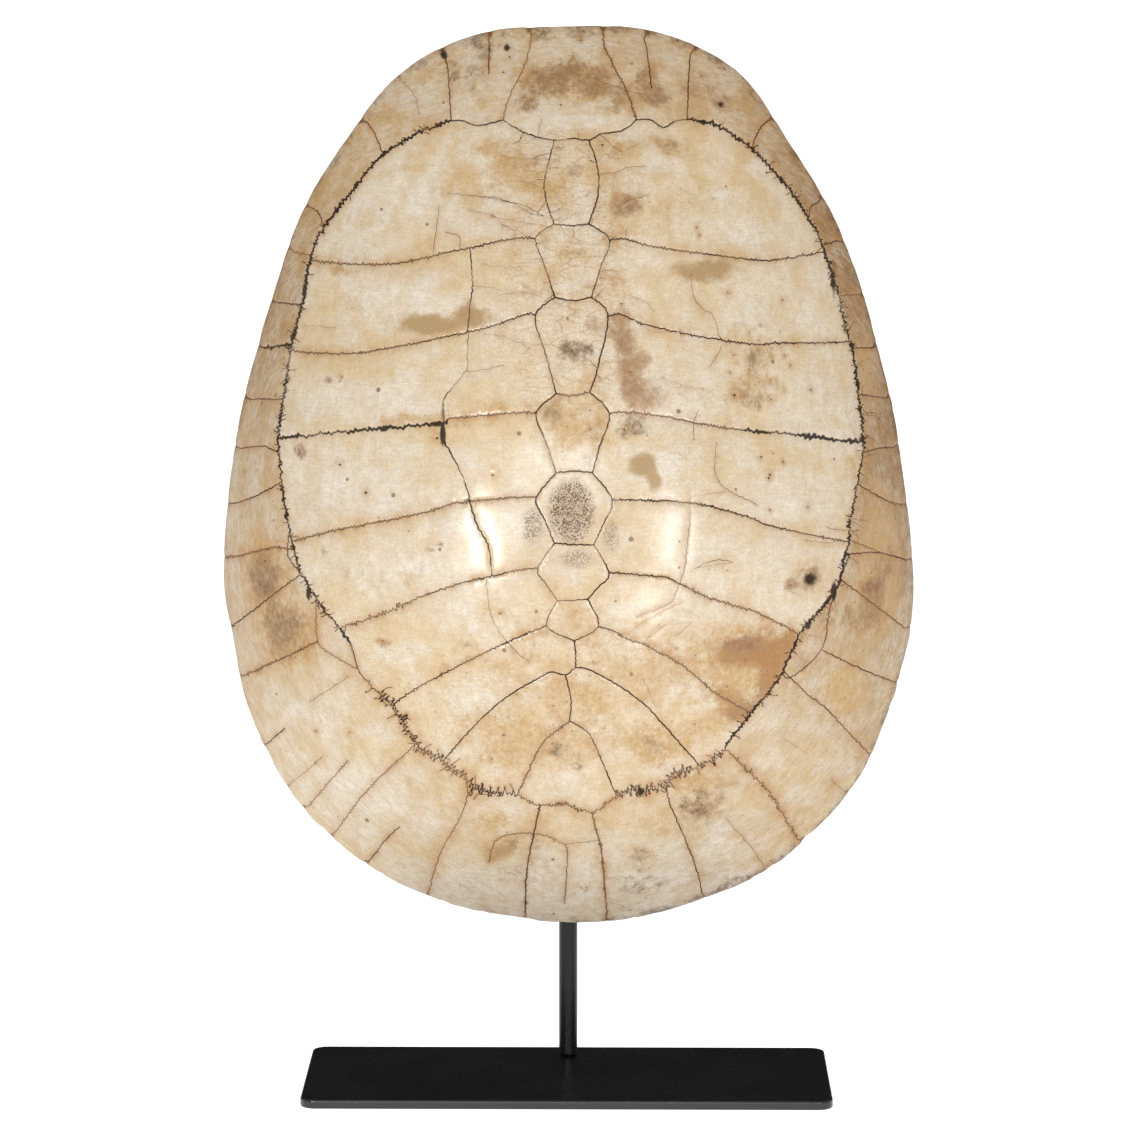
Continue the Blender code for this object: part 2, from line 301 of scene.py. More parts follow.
def lamp(name, azimuth, elevation, distance, width, height, power):
    """A flat lamp that looks at the crown of the shell. Azimuth 0 is the camera's side."""
    data = bpy.data.lights.new(name, "AREA")
    data.shape = "RECTANGLE"
    data.size, data.size_y = width, height
    data.energy = power
    made = bpy.data.objects.new(name, data)
    a, e = math.radians(azimuth), math.radians(elevation)
    away = Vector((math.sin(a) * math.cos(e), -math.cos(a) * math.cos(e), math.sin(e)))
    made.location = TARGET + away * distance
    made.rotation_euler = away.to_track_quat("Z", "Y").to_euler()
    made.visible_camera = False
    scene.collection.objects.link(made)
    return made


for strip in STRIPS:
    lamp(*strip).visible_diffuse = False
for glow in GLOWS:
    lamp(*glow).visible_glossy = False

# %% The white sky
world = bpy.data.worlds.new("white_sky")
scene.world = world
world.use_nodes = True
background = world.node_tree.nodes["Background"]
background.inputs["Color"].default_value = (1, 1, 1, 1)
background.inputs["Strength"].default_value = SKY_STRENGTH
print("sky strength:", SKY_STRENGTH)

# %% The dark screen behind
screen_cloth, wires, shader, place = new_material("screen_cloth")
set_shader(shader, Base_Color=(0.01, 0.01, 0.01, 1), Roughness=0.9)
bm = bmesh.new()
bmesh.ops.create_grid(bm, x_segments=1, y_segments=1, size=0.5)
SCREEN_PLACE, SCREEN_SIZE = (0, 6.0, 2.55), (12, 5, 1)     # m
upright = Matrix.Rotation(math.pi / 2, 3, "X")
placed = Matrix.LocRotScale(SCREEN_PLACE, upright, SCREEN_SIZE)
bmesh.ops.transform(bm, verts=bm.verts, matrix=placed)
screen = mesh_object("dark_screen", bm, screen_cloth)
screen.visible_camera = False
screen.visible_diffuse = False
screen.visible_shadow = False
screen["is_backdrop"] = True

# %% [markdown]
# ## The dome
# The shell is a dome that leans back a little. Seen from the front its outline is an egg: narrow at
# the head, wide low down. A ring of measured radii gives that outline, and a smooth curve passes
# through them. The depth grows slowly near the crown and quickly near the rim. These are the same
# rules that shaped the CAD solid, so the skin made here lies exactly on it. x runs across the shell
# and z up from the crown, both in millimetres.

# %% The shape rules of the dome
# distance from the crown to the rim, every 10 degrees from the right-hand side upwards, in mm
RIM_RADII = np.array((
    235, 233, 237, 245, 260, 280, 302, 332, 343, 341.5, 342, 331,
    305, 283, 261, 247, 239.5, 236, 237, 241.5, 246, 254, 261, 266,
    267.5, 267, 266, 266, 267, 267, 269, 266.5, 262.5, 254, 248.5, 241.5), float)
CROWN_Y, CROWN_Z, LEAN = -46.0, 370.0, 0.087
SIDE_DEPTH, HEAD_DEPTH, TAIL_DEPTH = 137.0, 112.0, 102.0
SIDE_BEND, HEAD_BEND, TAIL_BEND = 0.00136, 0.00080, 0.00110
STEEP_SIDE, STEEP_END = 5.0, 4.0
BONE_THICK, RIM_THICK = 6.0, 8.5


def curve_through(a, b, c, d, t):
    """The smooth curve from b to c at share t, led in by a and led out by d."""
    return b + 0.5 * t * (c - a + t * (2 * a - 5 * b + 4 * c - d + t * (3 * (b - c) + d - a)))


def rim_radius(angle):
    """How far the rim is from the crown in each direction, seen from the front."""
    place = (angle / (2 * np.pi)) % 1.0 * len(RIM_RADII)
    first = np.floor(place).astype(int)
    t = place - first
    a, b, c, d = (RIM_RADII[(first + k) % len(RIM_RADII)] for k in (-1, 0, 1, 2))
    return curve_through(a, b, c, d, t)


def rim_share(x, z):
    """0 at the crown and 1 on the rim."""
    return np.maximum(np.hypot(x, z) / rim_radius(np.arctan2(z, x)), 1e-4)


def dome_y(x, z):
    """The dome's depth at each place seen from the front."""
    angle, share = np.arctan2(z, x), rim_share(x, z)
    end = np.sin(angle) ** 2
    head = z > 0
    end_depth = np.where(head, HEAD_DEPTH, TAIL_DEPTH)
    end_bend = np.where(head, HEAD_BEND, TAIL_BEND)
    rim_depth = SIDE_DEPTH + (end_depth - SIDE_DEPTH) * end
    steep = STEEP_SIDE + (STEEP_END - STEEP_SIDE) * end
    bowl = SIDE_BEND * x * x + end_bend * z * z
    return CROWN_Y + LEAN * z + bowl + (rim_depth - bowl / share**2) * share**steep


def dome_normal(x, z):
    """The outward direction of the dome, by two short steps either side."""
    h = 0.5
    slope_x = (dome_y(x + h, z) - dome_y(x - h, z)) / (2 * h)
    slope_z = (dome_y(x, z + h) - dome_y(x, z - h)) / (2 * h)
    normal = np.stack([slope_x, -np.ones_like(slope_x), slope_z], axis=-1)
    return normal / np.linalg.norm(normal, axis=-1, keepdims=True)


side_rim = dome_y(np.array([RIM_RADII[0]]), np.zeros(1))
print("depth at the side rim, mm:", round(float(side_rim[0] - CROWN_Y), 1))

# %% [markdown]
# ## Even spacing over the dome
# Near the side rim the dome is steep, so points that are evenly spaced from the front would be far
# apart on the bone. A table of the true length from the crown to the rim, for each direction, mends
# that. It also makes a good flat map: the crown in the middle, each point at its true distance.

# %% Length from the crown along each direction
TABLE_ANGLES = np.linspace(0, 2 * np.pi, 181)
TABLE_SHARES = np.linspace(0, 1, 161)
angles, shares = np.meshgrid(TABLE_ANGLES, TABLE_SHARES, indexing="ij")
radii = shares * rim_radius(angles)
table_x, table_z = radii * np.cos(angles), radii * np.sin(angles)
table_y = dome_y(table_x, table_z)
steps = np.sqrt(np.diff(table_x)**2 + np.diff(table_z)**2 + np.diff(table_y)**2)
lengths = np.concatenate([np.zeros((len(TABLE_ANGLES), 1)), np.cumsum(steps, axis=1)], axis=1)
fractions = lengths / lengths[:, -1:]
EVEN = np.linspace(0, 1, 161)
share_table = np.array([np.interp(EVEN, row, TABLE_SHARES) for row in fractions])


def look_up(table, angle, share):
    """Reads a table of angle rows and share columns between its entries."""
    row = (angle / (2 * np.pi)) % 1.0 * (len(TABLE_ANGLES) - 1)
    column = np.clip(share, 0, 1) * (table.shape[1] - 1)
    r, c = np.floor(row).astype(int), np.minimum(np.floor(column).astype(int), table.shape[1] - 2)
    u, v = row - r, column - c
    r2 = np.minimum(r + 1, len(TABLE_ANGLES) - 1)
    return ((1 - u) * (1 - v) * table[r, c] + (1 - u) * v * table[r, c + 1]
            + u * (1 - v) * table[r2, c] + u * v * table[r2, c + 1])


def even_rings(spacing):
    """Points in rings round the crown, about the same distance apart everywhere on the bone."""
    count = int(np.mean(lengths[:, -1]) / spacing)
    xs, zs = [np.zeros(1)], [np.zeros(1)]
    for ring in range(1, count):
        fraction = ring / count
        around = TABLE_ANGLES
        reach = look_up(share_table, around, np.full_like(around, fraction)) * rim_radius(around)
        px, pz = reach * np.cos(around), reach * np.sin(around)
        py = dome_y(px, pz)
        steps = np.sqrt(np.diff(px)**2 + np.diff(pz)**2 + np.diff(py)**2)
        laps = np.concatenate([[0], np.cumsum(steps)])
        places = (np.arange(int(laps[-1] / spacing)) + 0.5 * (ring % 2)) * spacing
        angle = np.interp(places, laps, around)
        reach = look_up(share_table, angle, np.full_like(angle, fraction)) * rim_radius(angle)
        xs.append(reach * np.cos(angle))
        zs.append(reach * np.sin(angle))
    return np.concatenate(xs), np.concatenate(zs)


print("crown to rim, mm:", round(lengths[:, -1].min()), "to", round(lengths[:, -1].max()))

# %% [markdown]
# ## The seams
# The shell is many plates grown together: one nuchal plate at the neck, seven small neurals down
# the spine, eight pairs of long costals, one suprapygal and one pygal at the tail, and eleven pairs
# of peripherals round the rim. Their seams are saw-toothed cracks, some filled with black dirt,
# some rust brown. They carry the whole look, so each is a real groove in the mesh. Every seam is
# given as a few points in millimetres from the crown, with the kind of seam it is.

# %% Kinds of seam
# half width and depth in mm, darkness, rust, jitter in mm, tooth height and pitch in mm
WIDTH, DEPTH, DARK, RUST = range(4)
KINDS = {
    "neural": (0.84, 0.40, 0.84, 0.50, 0.32, 0.0, 2.6),
    "costal": (0.80, 0.40, 0.74, 0.80, 0.26, 0.40, 2.2),
    "amber": (0.80, 0.35, 0.36, 1.00, 0.26, 0.50, 2.2),
    "black": (1.55, 0.60, 1.00, 0.30, 0.45, 0.75, 3.0),
    "ring": (1.20, 0.55, 1.00, 0.75, 0.40, 0.80, 2.5),
    "comb": (0.52, 0.45, 0.68, 1.00, 0.25, 2.7, 2.5),
    "saw": (0.54, 0.35, 0.46, 1.00, 0.25, 0.95, 2.3),
    "edge": (0.76, 0.40, 0.58, 0.85, 0.36, 0.2, 2.6),
    "pale": (0.64, 0.30, 0.34, 0.75, 0.36, 0.3, 2.6),
    "hair": (0.44, 0.06, 0.48, 0.55, 0.45, 0.0, 3.6),
    "smoke": (0.90, 0.20, 0.84, 0.20, 0.50, 0.0, 4.0),
    "spur": (0.50, 0.20, 0.90, 0.60, 0.20, 0.0, 2.0),
    "fine": (0.36, 0.02, 0.36, 0.45, 0.50, 0.0, 3.2),
    "tine": (0.46, 0.20, 0.50, 1.00, 0.15, 0.0, 2.0),
}
print("kinds of seam:", len(KINDS))

# %% The ring seam and the spine
RING = [
    ("neural", [(-44, 281), (-61, 277), (-71, 280), (-79, 280)]),
    ("ring", [(-79, 280), (-101, 272), (-111, 266), (-125, 257), (-139, 242), (-167, 206),
              (-174, 191)]),
    ("black", [(-174, 191), (-178, 175), (-179, 163), (-189, 125), (-193, 95), (-197, 66)]),
    ("ring", [(-197, 66), (-193, 30), (-186, 0), (-180, -21)]),
    ("black", [(-180, -21), (-163, -44), (-153, -55), (-145, -65)]),
    ("edge", [(-145, -65), (-140, -82), (-136, -88)]),
    ("saw", [(-136, -88), (-131, -93)]),
    ("comb", [(-131, -93), (-117, -105), (-111, -114), (-101, -132), (-83, -142), (-61, -161),
              (-33, -165)]),
    ("saw", [(-33, -165), (-25, -170), (-18, -173), (-1, -172), (17, -178), (33, -166)]),
    ("comb", [(33, -166), (40, -163), (59, -162), (67, -159), (72, -151), (89, -147), (106, -135)]),
    ("ring", [(106, -135), (108, -130), (127, -106), (135, -98), (144, -84), (155, -59)]),
    ("black", [(155, -59), (179, -34), (184, -23), (190, -1)]),
    ("ring", [(190, -1), (191, 14), (200, 56), (200, 70), (194, 121)]),
    ("black", [(194, 121), (186, 149), (184, 161), (174, 191)]),
    ("black", [(174, 191), (169, 204), (155, 226), (147, 237)]),
    ("ring", [(147, 237), (124, 261), (100, 277), (80, 281)]),
    ("neural", [(80, 281), (72, 280), (64, 276), (55, 281), (46, 281)]),
]
SPINE = [
    ("pale", [(-25, 339), (-27, 326), (-31, 313), (-39, 298), (-44, 281)]),
    ("amber", [(24, 339), (25, 327), (39, 300), (46, 281)]),
    ("neural", [(-44, 281), (-27, 272), (-9, 268), (3, 269), (14, 268), (22, 272), (36, 274),
                (46, 281)]),
    ("neural", [(-9, 268), (-15, 245), (-15, 232), (-9, 214)]),
    ("neural", [(14, 268), (20, 250), (20, 232), (14, 214)]),
    ("neural", [(-9, 214), (3, 213), (14, 214)]),
    ("neural", [(-9, 214), (-21, 205), (-15, 187), (-8, 167)]),
    ("neural", [(14, 214), (28, 204), (22, 186), (16, 167)]),
    ("neural", [(-8, 167), (4, 165), (16, 167)]),
    ("neural", [(-8, 167), (-21, 155), (-14, 130), (-7, 105)]),
    ("neural", [(16, 167), (27, 155), (20, 121), (15, 106)]),
    ("amber", [(-7, 105), (4, 104), (15, 106)]),
    ("neural", [(-7, 105), (-20, 92), (-13, 72), (-7, 54)]),
    ("neural", [(15, 106), (28, 92), (22, 72), (17, 54)]),
    ("neural", [(-7, 54), (5, 55), (17, 54)]),
    ("neural", [(-7, 54), (-20, 37), (-14, 22), (-8, 8)]),
    ("neural", [(17, 54), (30, 36), (24, 20), (18, 7)]),
    ("neural", [(-8, 8), (5, 7), (18, 7)]),
    ("neural", [(-8, 8), (-19, -9), (-13, -20), (-6, -30)]),
    ("neural", [(18, 7), (28, -12), (21, -21), (14, -29)]),
    ("neural", [(-6, -30), (4, -30), (14, -29)]),
    ("neural", [(-6, -30), (-13, -47), (5, -57)]),
    ("neural", [(14, -29), (21, -47), (5, -57)]),
    ("neural", [(5, -57), (6, -66), (6, -75)]),
    ("neural", [(-1, -80), (1, -87), (3, -99), (2, -112)]),
    ("amber", [(2, -112), (-13, -124), (-20, -135), (-33, -165)]),
    ("neural", [(2, -112), (10, -117), (17, -125), (33, -166)]),
    ("neural", [(6, -75), (-1, -80), (-10, -78), (-16, -81), (-40, -96), (-62, -117), (-83, -142)]),
    ("neural", [(6, -75), (16, -77), (35, -88), (48, -98), (58, -108), (89, -147)]),
]

# %% The seams between the long costal plates
COSTALS = [
    ("costal", [(-21, 205), (-29, 205), (-38, 204), (-80, 195)]),
    ("amber", [(-80, 195), (-120, 186), (-174, 184)]),
    ("costal", [(-21, 155), (-27, 156), (-57, 146), (-96, 137)]),
    ("amber", [(-96, 137), (-137, 128), (-154, 126), (-189, 125)]),
    ("amber", [(-20, 92), (-28, 93), (-52, 91), (-78, 88)]),
    ("black", [(-78, 88), (-84, 85), (-119, 80), (-154, 75), (-197, 66)]),
    ("amber", [(-19, 37), (-28, 38), (-50, 36), (-74, 33), (-98, 25), (-153, 11), (-186, 0)]),
    ("costal", [(-19, -9), (-31, -10), (-48, -14), (-71, -20), (-98, -30)]),
    ("saw", [(-98, -30), (-124, -43), (-153, -55)]),
    ("costal", [(-13, -47), (-37, -57), (-64, -71), (-100, -92), (-117, -105)]),
    ("costal", [(28, 204), (38, 204), (58, 199), (90, 194), (123, 189), (140, 188), (174, 191)]),
    ("costal", [(27, 155), (36, 156), (49, 150), (77, 143), (102, 138), (128, 134), (142, 134),
                (191, 130)]),
    ("amber", [(28, 92), (38, 93), (63, 90), (90, 84), (117, 79)]),
    ("black", [(117, 79), (152, 74), (175, 69), (200, 64)]),
    ("costal", [(30, 36), (41, 36), (83, 33), (121, 22), (131, 17), (160, 8), (190, -1)]),
    ("costal", [(28, -12), (63, -15), (73, -19)]),
    ("amber", [(73, -19), (97, -31), (125, -41), (145, -52), (155, -59)]),
    ("costal", [(21, -47), (30, -50), (40, -56)]),
    ("amber", [(40, -56), (53, -61), (77, -75), (99, -95), (123, -111)]),
]

# %% The seams between the rim plates
RIM_SEAMS = [
    ("edge", [(-79, 280), (-82, 314), (-86, 325)]),
    ("hair", [(-101, 285), (-104, 295), (-114, 306)]),
    ("edge", [(-125, 257), (-133, 272), (-141, 281)]),
    ("edge", [(-167, 206), (-171, 217), (-186, 223)]),
    ("pale", [(-178, 191), (-200, 190)]),
    ("edge", [(-184, 157), (-208, 154)]),
    ("ring", [(-190, 128), (-219, 121)]),
    ("edge", [(-197, 94), (-228, 87)]),
    ("edge", [(-199, 59), (-210, 59), (-233, 52)]),
    ("edge", [(-194, 38), (-217, 23), (-235, 15)]),
    ("amber", [(-189, -7), (-203, -8), (-237, -22)]),
    ("edge", [(-180, -22), (-197, -36), (-237, -73)]),
    ("amber", [(-168, -66), (-202, -87), (-229, -105)]),
    ("hair", [(-147, -88), (-175, -110)]),
    ("edge", [(-194, -133), (-214, -155)]),
    ("hair", [(-167, -149), (-195, -178)]),
    ("pale", [(-149, -149), (-181, -192)]),
    ("pale", [(-101, -132), (-137, -171), (-166, -216)]),
    ("edge", [(-114, -195), (-126, -209), (-140, -232)]),
    ("saw", [(-61, -161), (-67, -168), (-69, -176)]),
    ("pale", [(-69, -176), (-75, -190), (-83, -205)]),
    ("pale", [(-83, -205), (-91, -228), (-97, -253)]),
    ("costal", [(-18, -173), (-24, -202), (-28, -228), (-29, -264)]),
    ("edge", [(80, 282), (82, 319), (86, 331)]),
    ("edge", [(56, 302), (53, 326), (49, 339)]),
    ("edge", [(-54, 311), (-54, 338)]),
    ("edge", [(124, 261), (131, 275), (141, 282)]),
    ("edge", [(163, 215), (166, 222), (181, 226)]),
    ("edge", [(174, 195), (182, 197), (195, 195)]),
    ("pale", [(185, 162), (207, 160)]),
    ("edge", [(194, 127), (217, 123)]),
    ("edge", [(200, 95), (227, 87)]),
    ("edge", [(204, 56), (216, 57), (233, 52)]),
    ("edge", [(198, 34), (220, 20), (236, 14)]),
    ("pale", [(192, 0), (215, -13)]),
    ("edge", [(194, -8), (212, -12), (237, -24)]),
    ("edge", [(187, -29), (210, -48), (237, -73)]),
    ("edge", [(172, -72), (200, -90), (229, -108)]),
    ("edge", [(150, -88), (162, -102), (176, -115), (212, -160)]),
    ("hair", [(180, -167), (196, -186)]),
    ("saw", [(106, -135), (130, -162), (141, -178), (162, -220)]),
    ("hair", [(106, -186), (125, -212), (138, -236)]),
    ("edge", [(67, -160), (69, -174), (74, -186), (87, -223), (93, -251)]),
    ("amber", [(17, -178), (19, -190), (22, -201), (25, -230), (27, -269)]),
    ("edge", [(-192, 6), (-189, -10), (-184, -20)]),
    ("pale", [(-173, -42), (-168, -66), (-156, -75), (-140, -82)]),
    ("edge", [(190, -10), (177, -42), (171, -71), (150, -88), (144, -84)]),
]

# %% Old plate lines and hair cracks
def of_kind(kind, *lines):
    """Several seams of one kind."""
    return [(kind, points) for points in lines]


CRACKS = (
    of_kind("smoke",
            [(-65, 196), (-63, 172), (-65, 161), (-66, 128), (-67, 119), (-81, 101), (-82, 88)],
            [(-81, 84), (-82, 75), (-69, 51), (-60, 21), (-52, 6), (-49, -12)])
    + of_kind("hair", [(-53, -16), (-49, -43), (-33, -65), (-25, -71)],
              [(160, 4), (172, 1), (184, -2)], [(174, 11), (182, 8), (187, 6)],
              [(-68, 120), (-55, 120), (-42, 123)],
              [(-80, 233), (-56, 231), (-30, 226), (-16, 219)])
    + of_kind("fine", [(-46, 258), (-31, 256), (-15, 257)], [(-36, 251), (-20, 247), (-14, 249)],
              [(-20, 274), (-18, 281)], [(-51, 218), (-35, 216), (-12, 211)],
              [(-41, 242), (-25, 240), (-15, 236)], [(-56, 188), (-40, 186), (-25, 187)],
              [(-63, 173), (-48, 173)], [(-45, 168), (-30, 170), (-17, 167)],
              [(-33, 267), (-31, 274), (-36, 279)], [(-179, 142), (-156, 143)],
              [(-55, 143), (-40, 141), (-24, 134)], [(-67, 223), (-48, 218), (-43, 211)],
              [(45, 152), (56, 145), (74, 143)], [(63, 115), (78, 109), (90, 107)],
              [(124, 115), (135, 123)], [(99, 63), (98, 54), (101, 47)], [(90, 38), (105, 40)],
              [(23, 175), (13, 174)], [(37, 169), (50, 165), (57, 158)], [(51, -84), (58, -101)],
              [(40, -53), (50, -45), (66, -37), (77, -32)], [(50, -56), (66, -48), (83, -46)],
              [(77, -37), (88, -43)], [(74, -54), (85, -48)], [(144, -130), (162, -144)],
              [(45, -206), (51, -221), (45, -219)], [(28, -249), (42, -254)],
              [(85, -10), (96, -8), (110, -7)], [(89, -152), (97, -159)],
              [(78, -148), (86, -164)])
    + of_kind("hair", [(-86, 224), (-88, 208), (-89, 193)], [(-81, 208), (-72, 205), (-72, 197)],
              [(82, 180), (84, 167), (90, 158), (97, 154), (100, 143), (102, 136)],
              [(102, 133), (99, 127), (95, 121)], [(87, 93), (84, 86), (84, 75)],
              [(99, 72), (100, 47), (126, 30)],
              [(82, 38), (80, 6), (77, -13), (72, -26), (68, -33), (46, -41)],
              [(85, -8), (98, -5), (112, -7)])
    + of_kind("pale",
              [(-53, -217), (-49, -202), (-41, -196), (-26, -194), (-14, -196), (-5, -201),
               (0, -208), (-2, -250)])
    + of_kind("hair", [(1, -201), (19, -199)], [(13, 309), (40, 300), (48, 298)],
              [(-30, 273), (-32, 268), (-36, 266)], [(-12, 260), (-20, 258), (-23, 254)],
              [(-15, 242), (-21, 242), (-26, 239)], [(20, 246), (30, 247), (39, 250), (50, 251)],
              [(35, 225), (41, 229), (52, 232)],
              [(-59, 232), (-49, 231), (-36, 227), (-25, 221), (-14, 220)],
              [(-42, 214), (-36, 210), (-35, 205)], [(7, 272), (7, 268)],
              [(-18, 280), (-20, 272)], [(22, 270), (28, 266), (35, 261)], [(39, 210), (39, 204)],
              [(4, 212), (4, 206)])
)
print("seams and cracks:", len(RING + SPINE + COSTALS + RIM_SEAMS + CRACKS))

# %% [markdown]
# ## From a few points to a saw-toothed line
# A smooth curve runs through the given points. It is then cut into short steps, and each step is
# pushed sideways: by a random jitter, and on a toothed seam by a zigzag that locks the two plates
# together. The end of a seam is moved onto the seam it meets, so that no gap stays between them.

# %% Trace one seam
CURVE_CUTS = 24        # cuts between two given points
LONGEST_STEP = 1.7     # mm
FADE = 3.0             # mm at each end of a seam over which its teeth grow


def smooth_line(points):
    """A dense curve through the points."""
    p = np.array([points[0]] + list(points) + [points[-1]], float)
    t = np.linspace(0, 1, CURVE_CUTS, endpoint=False)[:, None]
    parts = [curve_through(*four, t) for four in zip(p, p[1:], p[2:], p[3:])]
    return np.vstack(parts + [p[-1:]])


def uneven_steps(line, step):
    """Points along the line at uneven steps, and how far along each one is."""
    laps = np.concatenate([[0], np.cumsum(np.hypot(*np.diff(line, axis=0).T))])
    places = [0.0]
    while places[-1] < laps[-1] - 1.4 * step:
        places.append(places[-1] + step * dice.uniform(0.55, 1.45))
    places = np.array(places + [laps[-1]])
    return np.stack([np.interp(places, laps, line[:, k]) for k in (0, 1)], axis=1), places


def side_of(line):
    """Unit vectors square to the line at each of its points."""
    along = np.gradient(line, axis=0)
    along /= np.maximum(np.linalg.norm(along, axis=1, keepdims=True), 1e-9)
    return np.stack([-along[:, 1], along[:, 0]], axis=1)


def trace(kind, points):
    """The finished line of one seam, with its jitter and its teeth."""
    *_, jitter, tooth, pitch = KINDS[kind]
    line, places = uneven_steps(smooth_line(points), pitch / 2)
    zigzag = np.where(np.arange(len(line)) % 2 == 0, 1.0, -1.0)
    sizes = np.array([dice.random() ** 1.6 * 1.9 + 0.1 for _ in line])
    shove = tooth * zigzag * sizes + np.array([dice.uniform(-jitter, jitter) for _ in line])
    shove *= np.clip(np.minimum(places, places[-1] - places) / FADE, 0, 1)
    return resample_long(line + side_of(line) * shove[:, None], LONGEST_STEP)


def resample_long(line, longest):
    """Cuts any step that is longer than it may be."""
    out = [line[0]]
    for a, b in zip(line, line[1:]):
        cuts = max(1, int(math.ceil(np.hypot(*(b - a)) / longest)))
        out += [a + (b - a) * k / cuts for k in range(1, cuts + 1)]
    return np.array(out)

# %% Trace them all
class Network:
    """All seams as lines of points, with the look of each."""

    def __init__(self):
        self.lines = []

    def near(self, point):
        """How far off the nearest seam is, and its nearest point."""
        best, meeting = np.inf, None
        for line, _ in self.lines:
            gaps = np.hypot(*(line - point).T)
            if gaps.min() < best:
                best, meeting = gaps.min(), line[gaps.argmin()]
        return best, meeting

    def add(self, kind, points, reach=6.0):
        """Traces a seam; an end within reach of another seam is moved onto it."""
        points = [np.array(p, float) for p in points]
        for end in (0, -1):
            gap, meeting = self.near(points[end])
            if gap < reach:
                points[end] = meeting.copy()
        self.lines.append((trace(kind, points), KINDS[kind]))


network = Network()
for kind, points in RING + SPINE + COSTALS + RIM_SEAMS:
    network.add(kind, points)
for kind, points in CRACKS:
    network.add(kind, points, reach=3.0)
print("seam points:", sum(len(line) for line, _ in network.lines))

# %% [markdown]
# ## Short cracks beside the seams
# Old bone splits in short hairs that leave a seam nearly square. Typing each one would be slow, so
# they are drawn by a seeded random choice: short dark spurs along the ring, longer tines where its
# teeth are long, and hairs beside the right flank of the ring and the upper neurals.

# %% Fringes of hair cracks
def fringe(line, share, shortest, longest, side, kind):
    """Short cracks from some of a seam's points; side 0 is both sides, -1 only one side."""
    across = side_of(line)
    for place, way in zip(line[2:-2], across[2:-2]):
        if dice.random() > share:
            continue
        if dice.random() < 0.5 and side == 0:
            way = -way
        way = way * (side or 1)
        length = dice.uniform(shortest, longest)
        lean = np.array([way[1], -way[0]]) * dice.uniform(-0.5, 0.5)
        end = place + (way + lean) * length
        middle = place + way * length * 0.5 + lean * length * dice.uniform(0.1, 0.6)
        network.lines.append((trace(kind, [place, middle, end]), KINDS[kind]))


# numbers of the seams, share of points with a crack, shortest and longest in mm, side, kind
FRINGES = (
    ((2, 4, 11, 13, 14), 0.34, 1.4, 4.2, 0, "spur"),
    ((1, 3, 10, 12, 15), 0.12, 1.4, 4.0, 0, "spur"),
    ((7, 9), 0.16, 3.0, 6.5, 0, "tine"),
    ((12, 11), 0.08, 5.0, 12.0, -1, "hair"),
    ((20, 21, 23, 24, 27), 0.07, 3.0, 9.0, 0, "hair"),
)
seams_only = [line for line, _ in network.lines]
for numbers, *how in FRINGES:
    for index in numbers:
        fringe(seams_only[index], *how)
print("lines in all:", len(network.lines))

# %% [markdown]
# ## The skin of the shell, cut along its seams
# An even grid would need millions of points to hold lines this thin. So the mesh is made from
# points that are put where they are needed: a line of points down the middle of every seam, a lip
# on each side, and an even scatter over the plates. A constrained triangulation joins them, and it
# keeps every seam as an edge. No bmesh operator does that, so this one sheet is made from points.

# %% Points along the seams and their lips
def tree_of(points):
    """A search tree that finds the nearest of many flat points."""
    tree = KDTree(len(points))
    for k, (x, z) in enumerate(points):
        tree.insert((x, z, 0.0), k)
    tree.balance()
    return tree


def dense(line, step=0.35):
    """The line with a point at least every step, in mm."""
    parts = []
    for a, b in zip(line, line[1:]):
        count = max(2, int(np.hypot(*(b - a)) / step))
        parts.append(a + (b - a) * np.linspace(0, 1, count)[:, None])
    return np.vstack(parts)


def seam_samples(lines):
    """Closely spaced points on every seam, with the look of the seam at each."""
    spots, looks = [], []
    for line, look in lines:
        points = dense(line)
        spots.append(points)
        looks.append(np.repeat([look], len(points), axis=0))
    return np.vstack(spots), np.vstack(looks)


def nearest(tree, xs, zs):
    """For each place, the number of the nearest point of the tree and its distance."""
    found = [tree.find((x, z, 0.0)) for x, z in zip(xs, zs)]
    return np.array([f[1] for f in found]), np.array([f[2] for f in found])


LIP_SPACING = 0.55     # mm


def lips(lines, tree):
    """Points on both sides of each seam, left out where another seam is too near."""
    kept = []
    for line, (width, *_) in lines:
        across = side_of(line) * width
        both = np.vstack([line + across, line - across])
        gap, _ = nearest(tree, both[:, 0], both[:, 1])
        kept.append(both[gap > 0.8 * width])
    points = np.vstack(kept)
    _, first = np.unique(np.round(points / LIP_SPACING), axis=0, return_index=True)
    return points[np.sort(first)]

# %% The rim line and its small chips
RIM_POINTS = 560
rim_angles = np.arange(RIM_POINTS) / RIM_POINTS * 2 * np.pi
# notches in the rim: direction and width in degrees, depth in mm
NOTCHES = [
    (198.5, 3.2, 1.7), (338.0, 2.8, 2.2), (262.0, 3.4, 1.6), (232.0, 2.2, 1.3), (309.0, 2.4, 1.4),
]


def rim_wear(angle):
    """How much of the radius is left where the rim is worn or chipped."""
    worn = np.array([0.35 * noise.noise((9 * math.cos(a), 9 * math.sin(a), 2.0))
                     + 0.5 * noise.noise((34 * math.cos(a), 34 * math.sin(a), 5.0)) for a in angle])
    lower = np.clip(-np.sin(angle) * 1.6 - 0.15, 0, 1)
    chips = np.array([max(0.0, noise.noise((26 * math.cos(a), 26 * math.sin(a), 9.0)) - 0.12)
                      for a in angle])
    degrees = np.degrees(angle)
    notch = sum(deep * np.exp(-((degrees - at) / wide) ** 2) for at, wide, deep in NOTCHES)
    return 1 - (0.2 + 0.7 * worn + lower * (2.6 * chips) + notch * 0.7) / 260


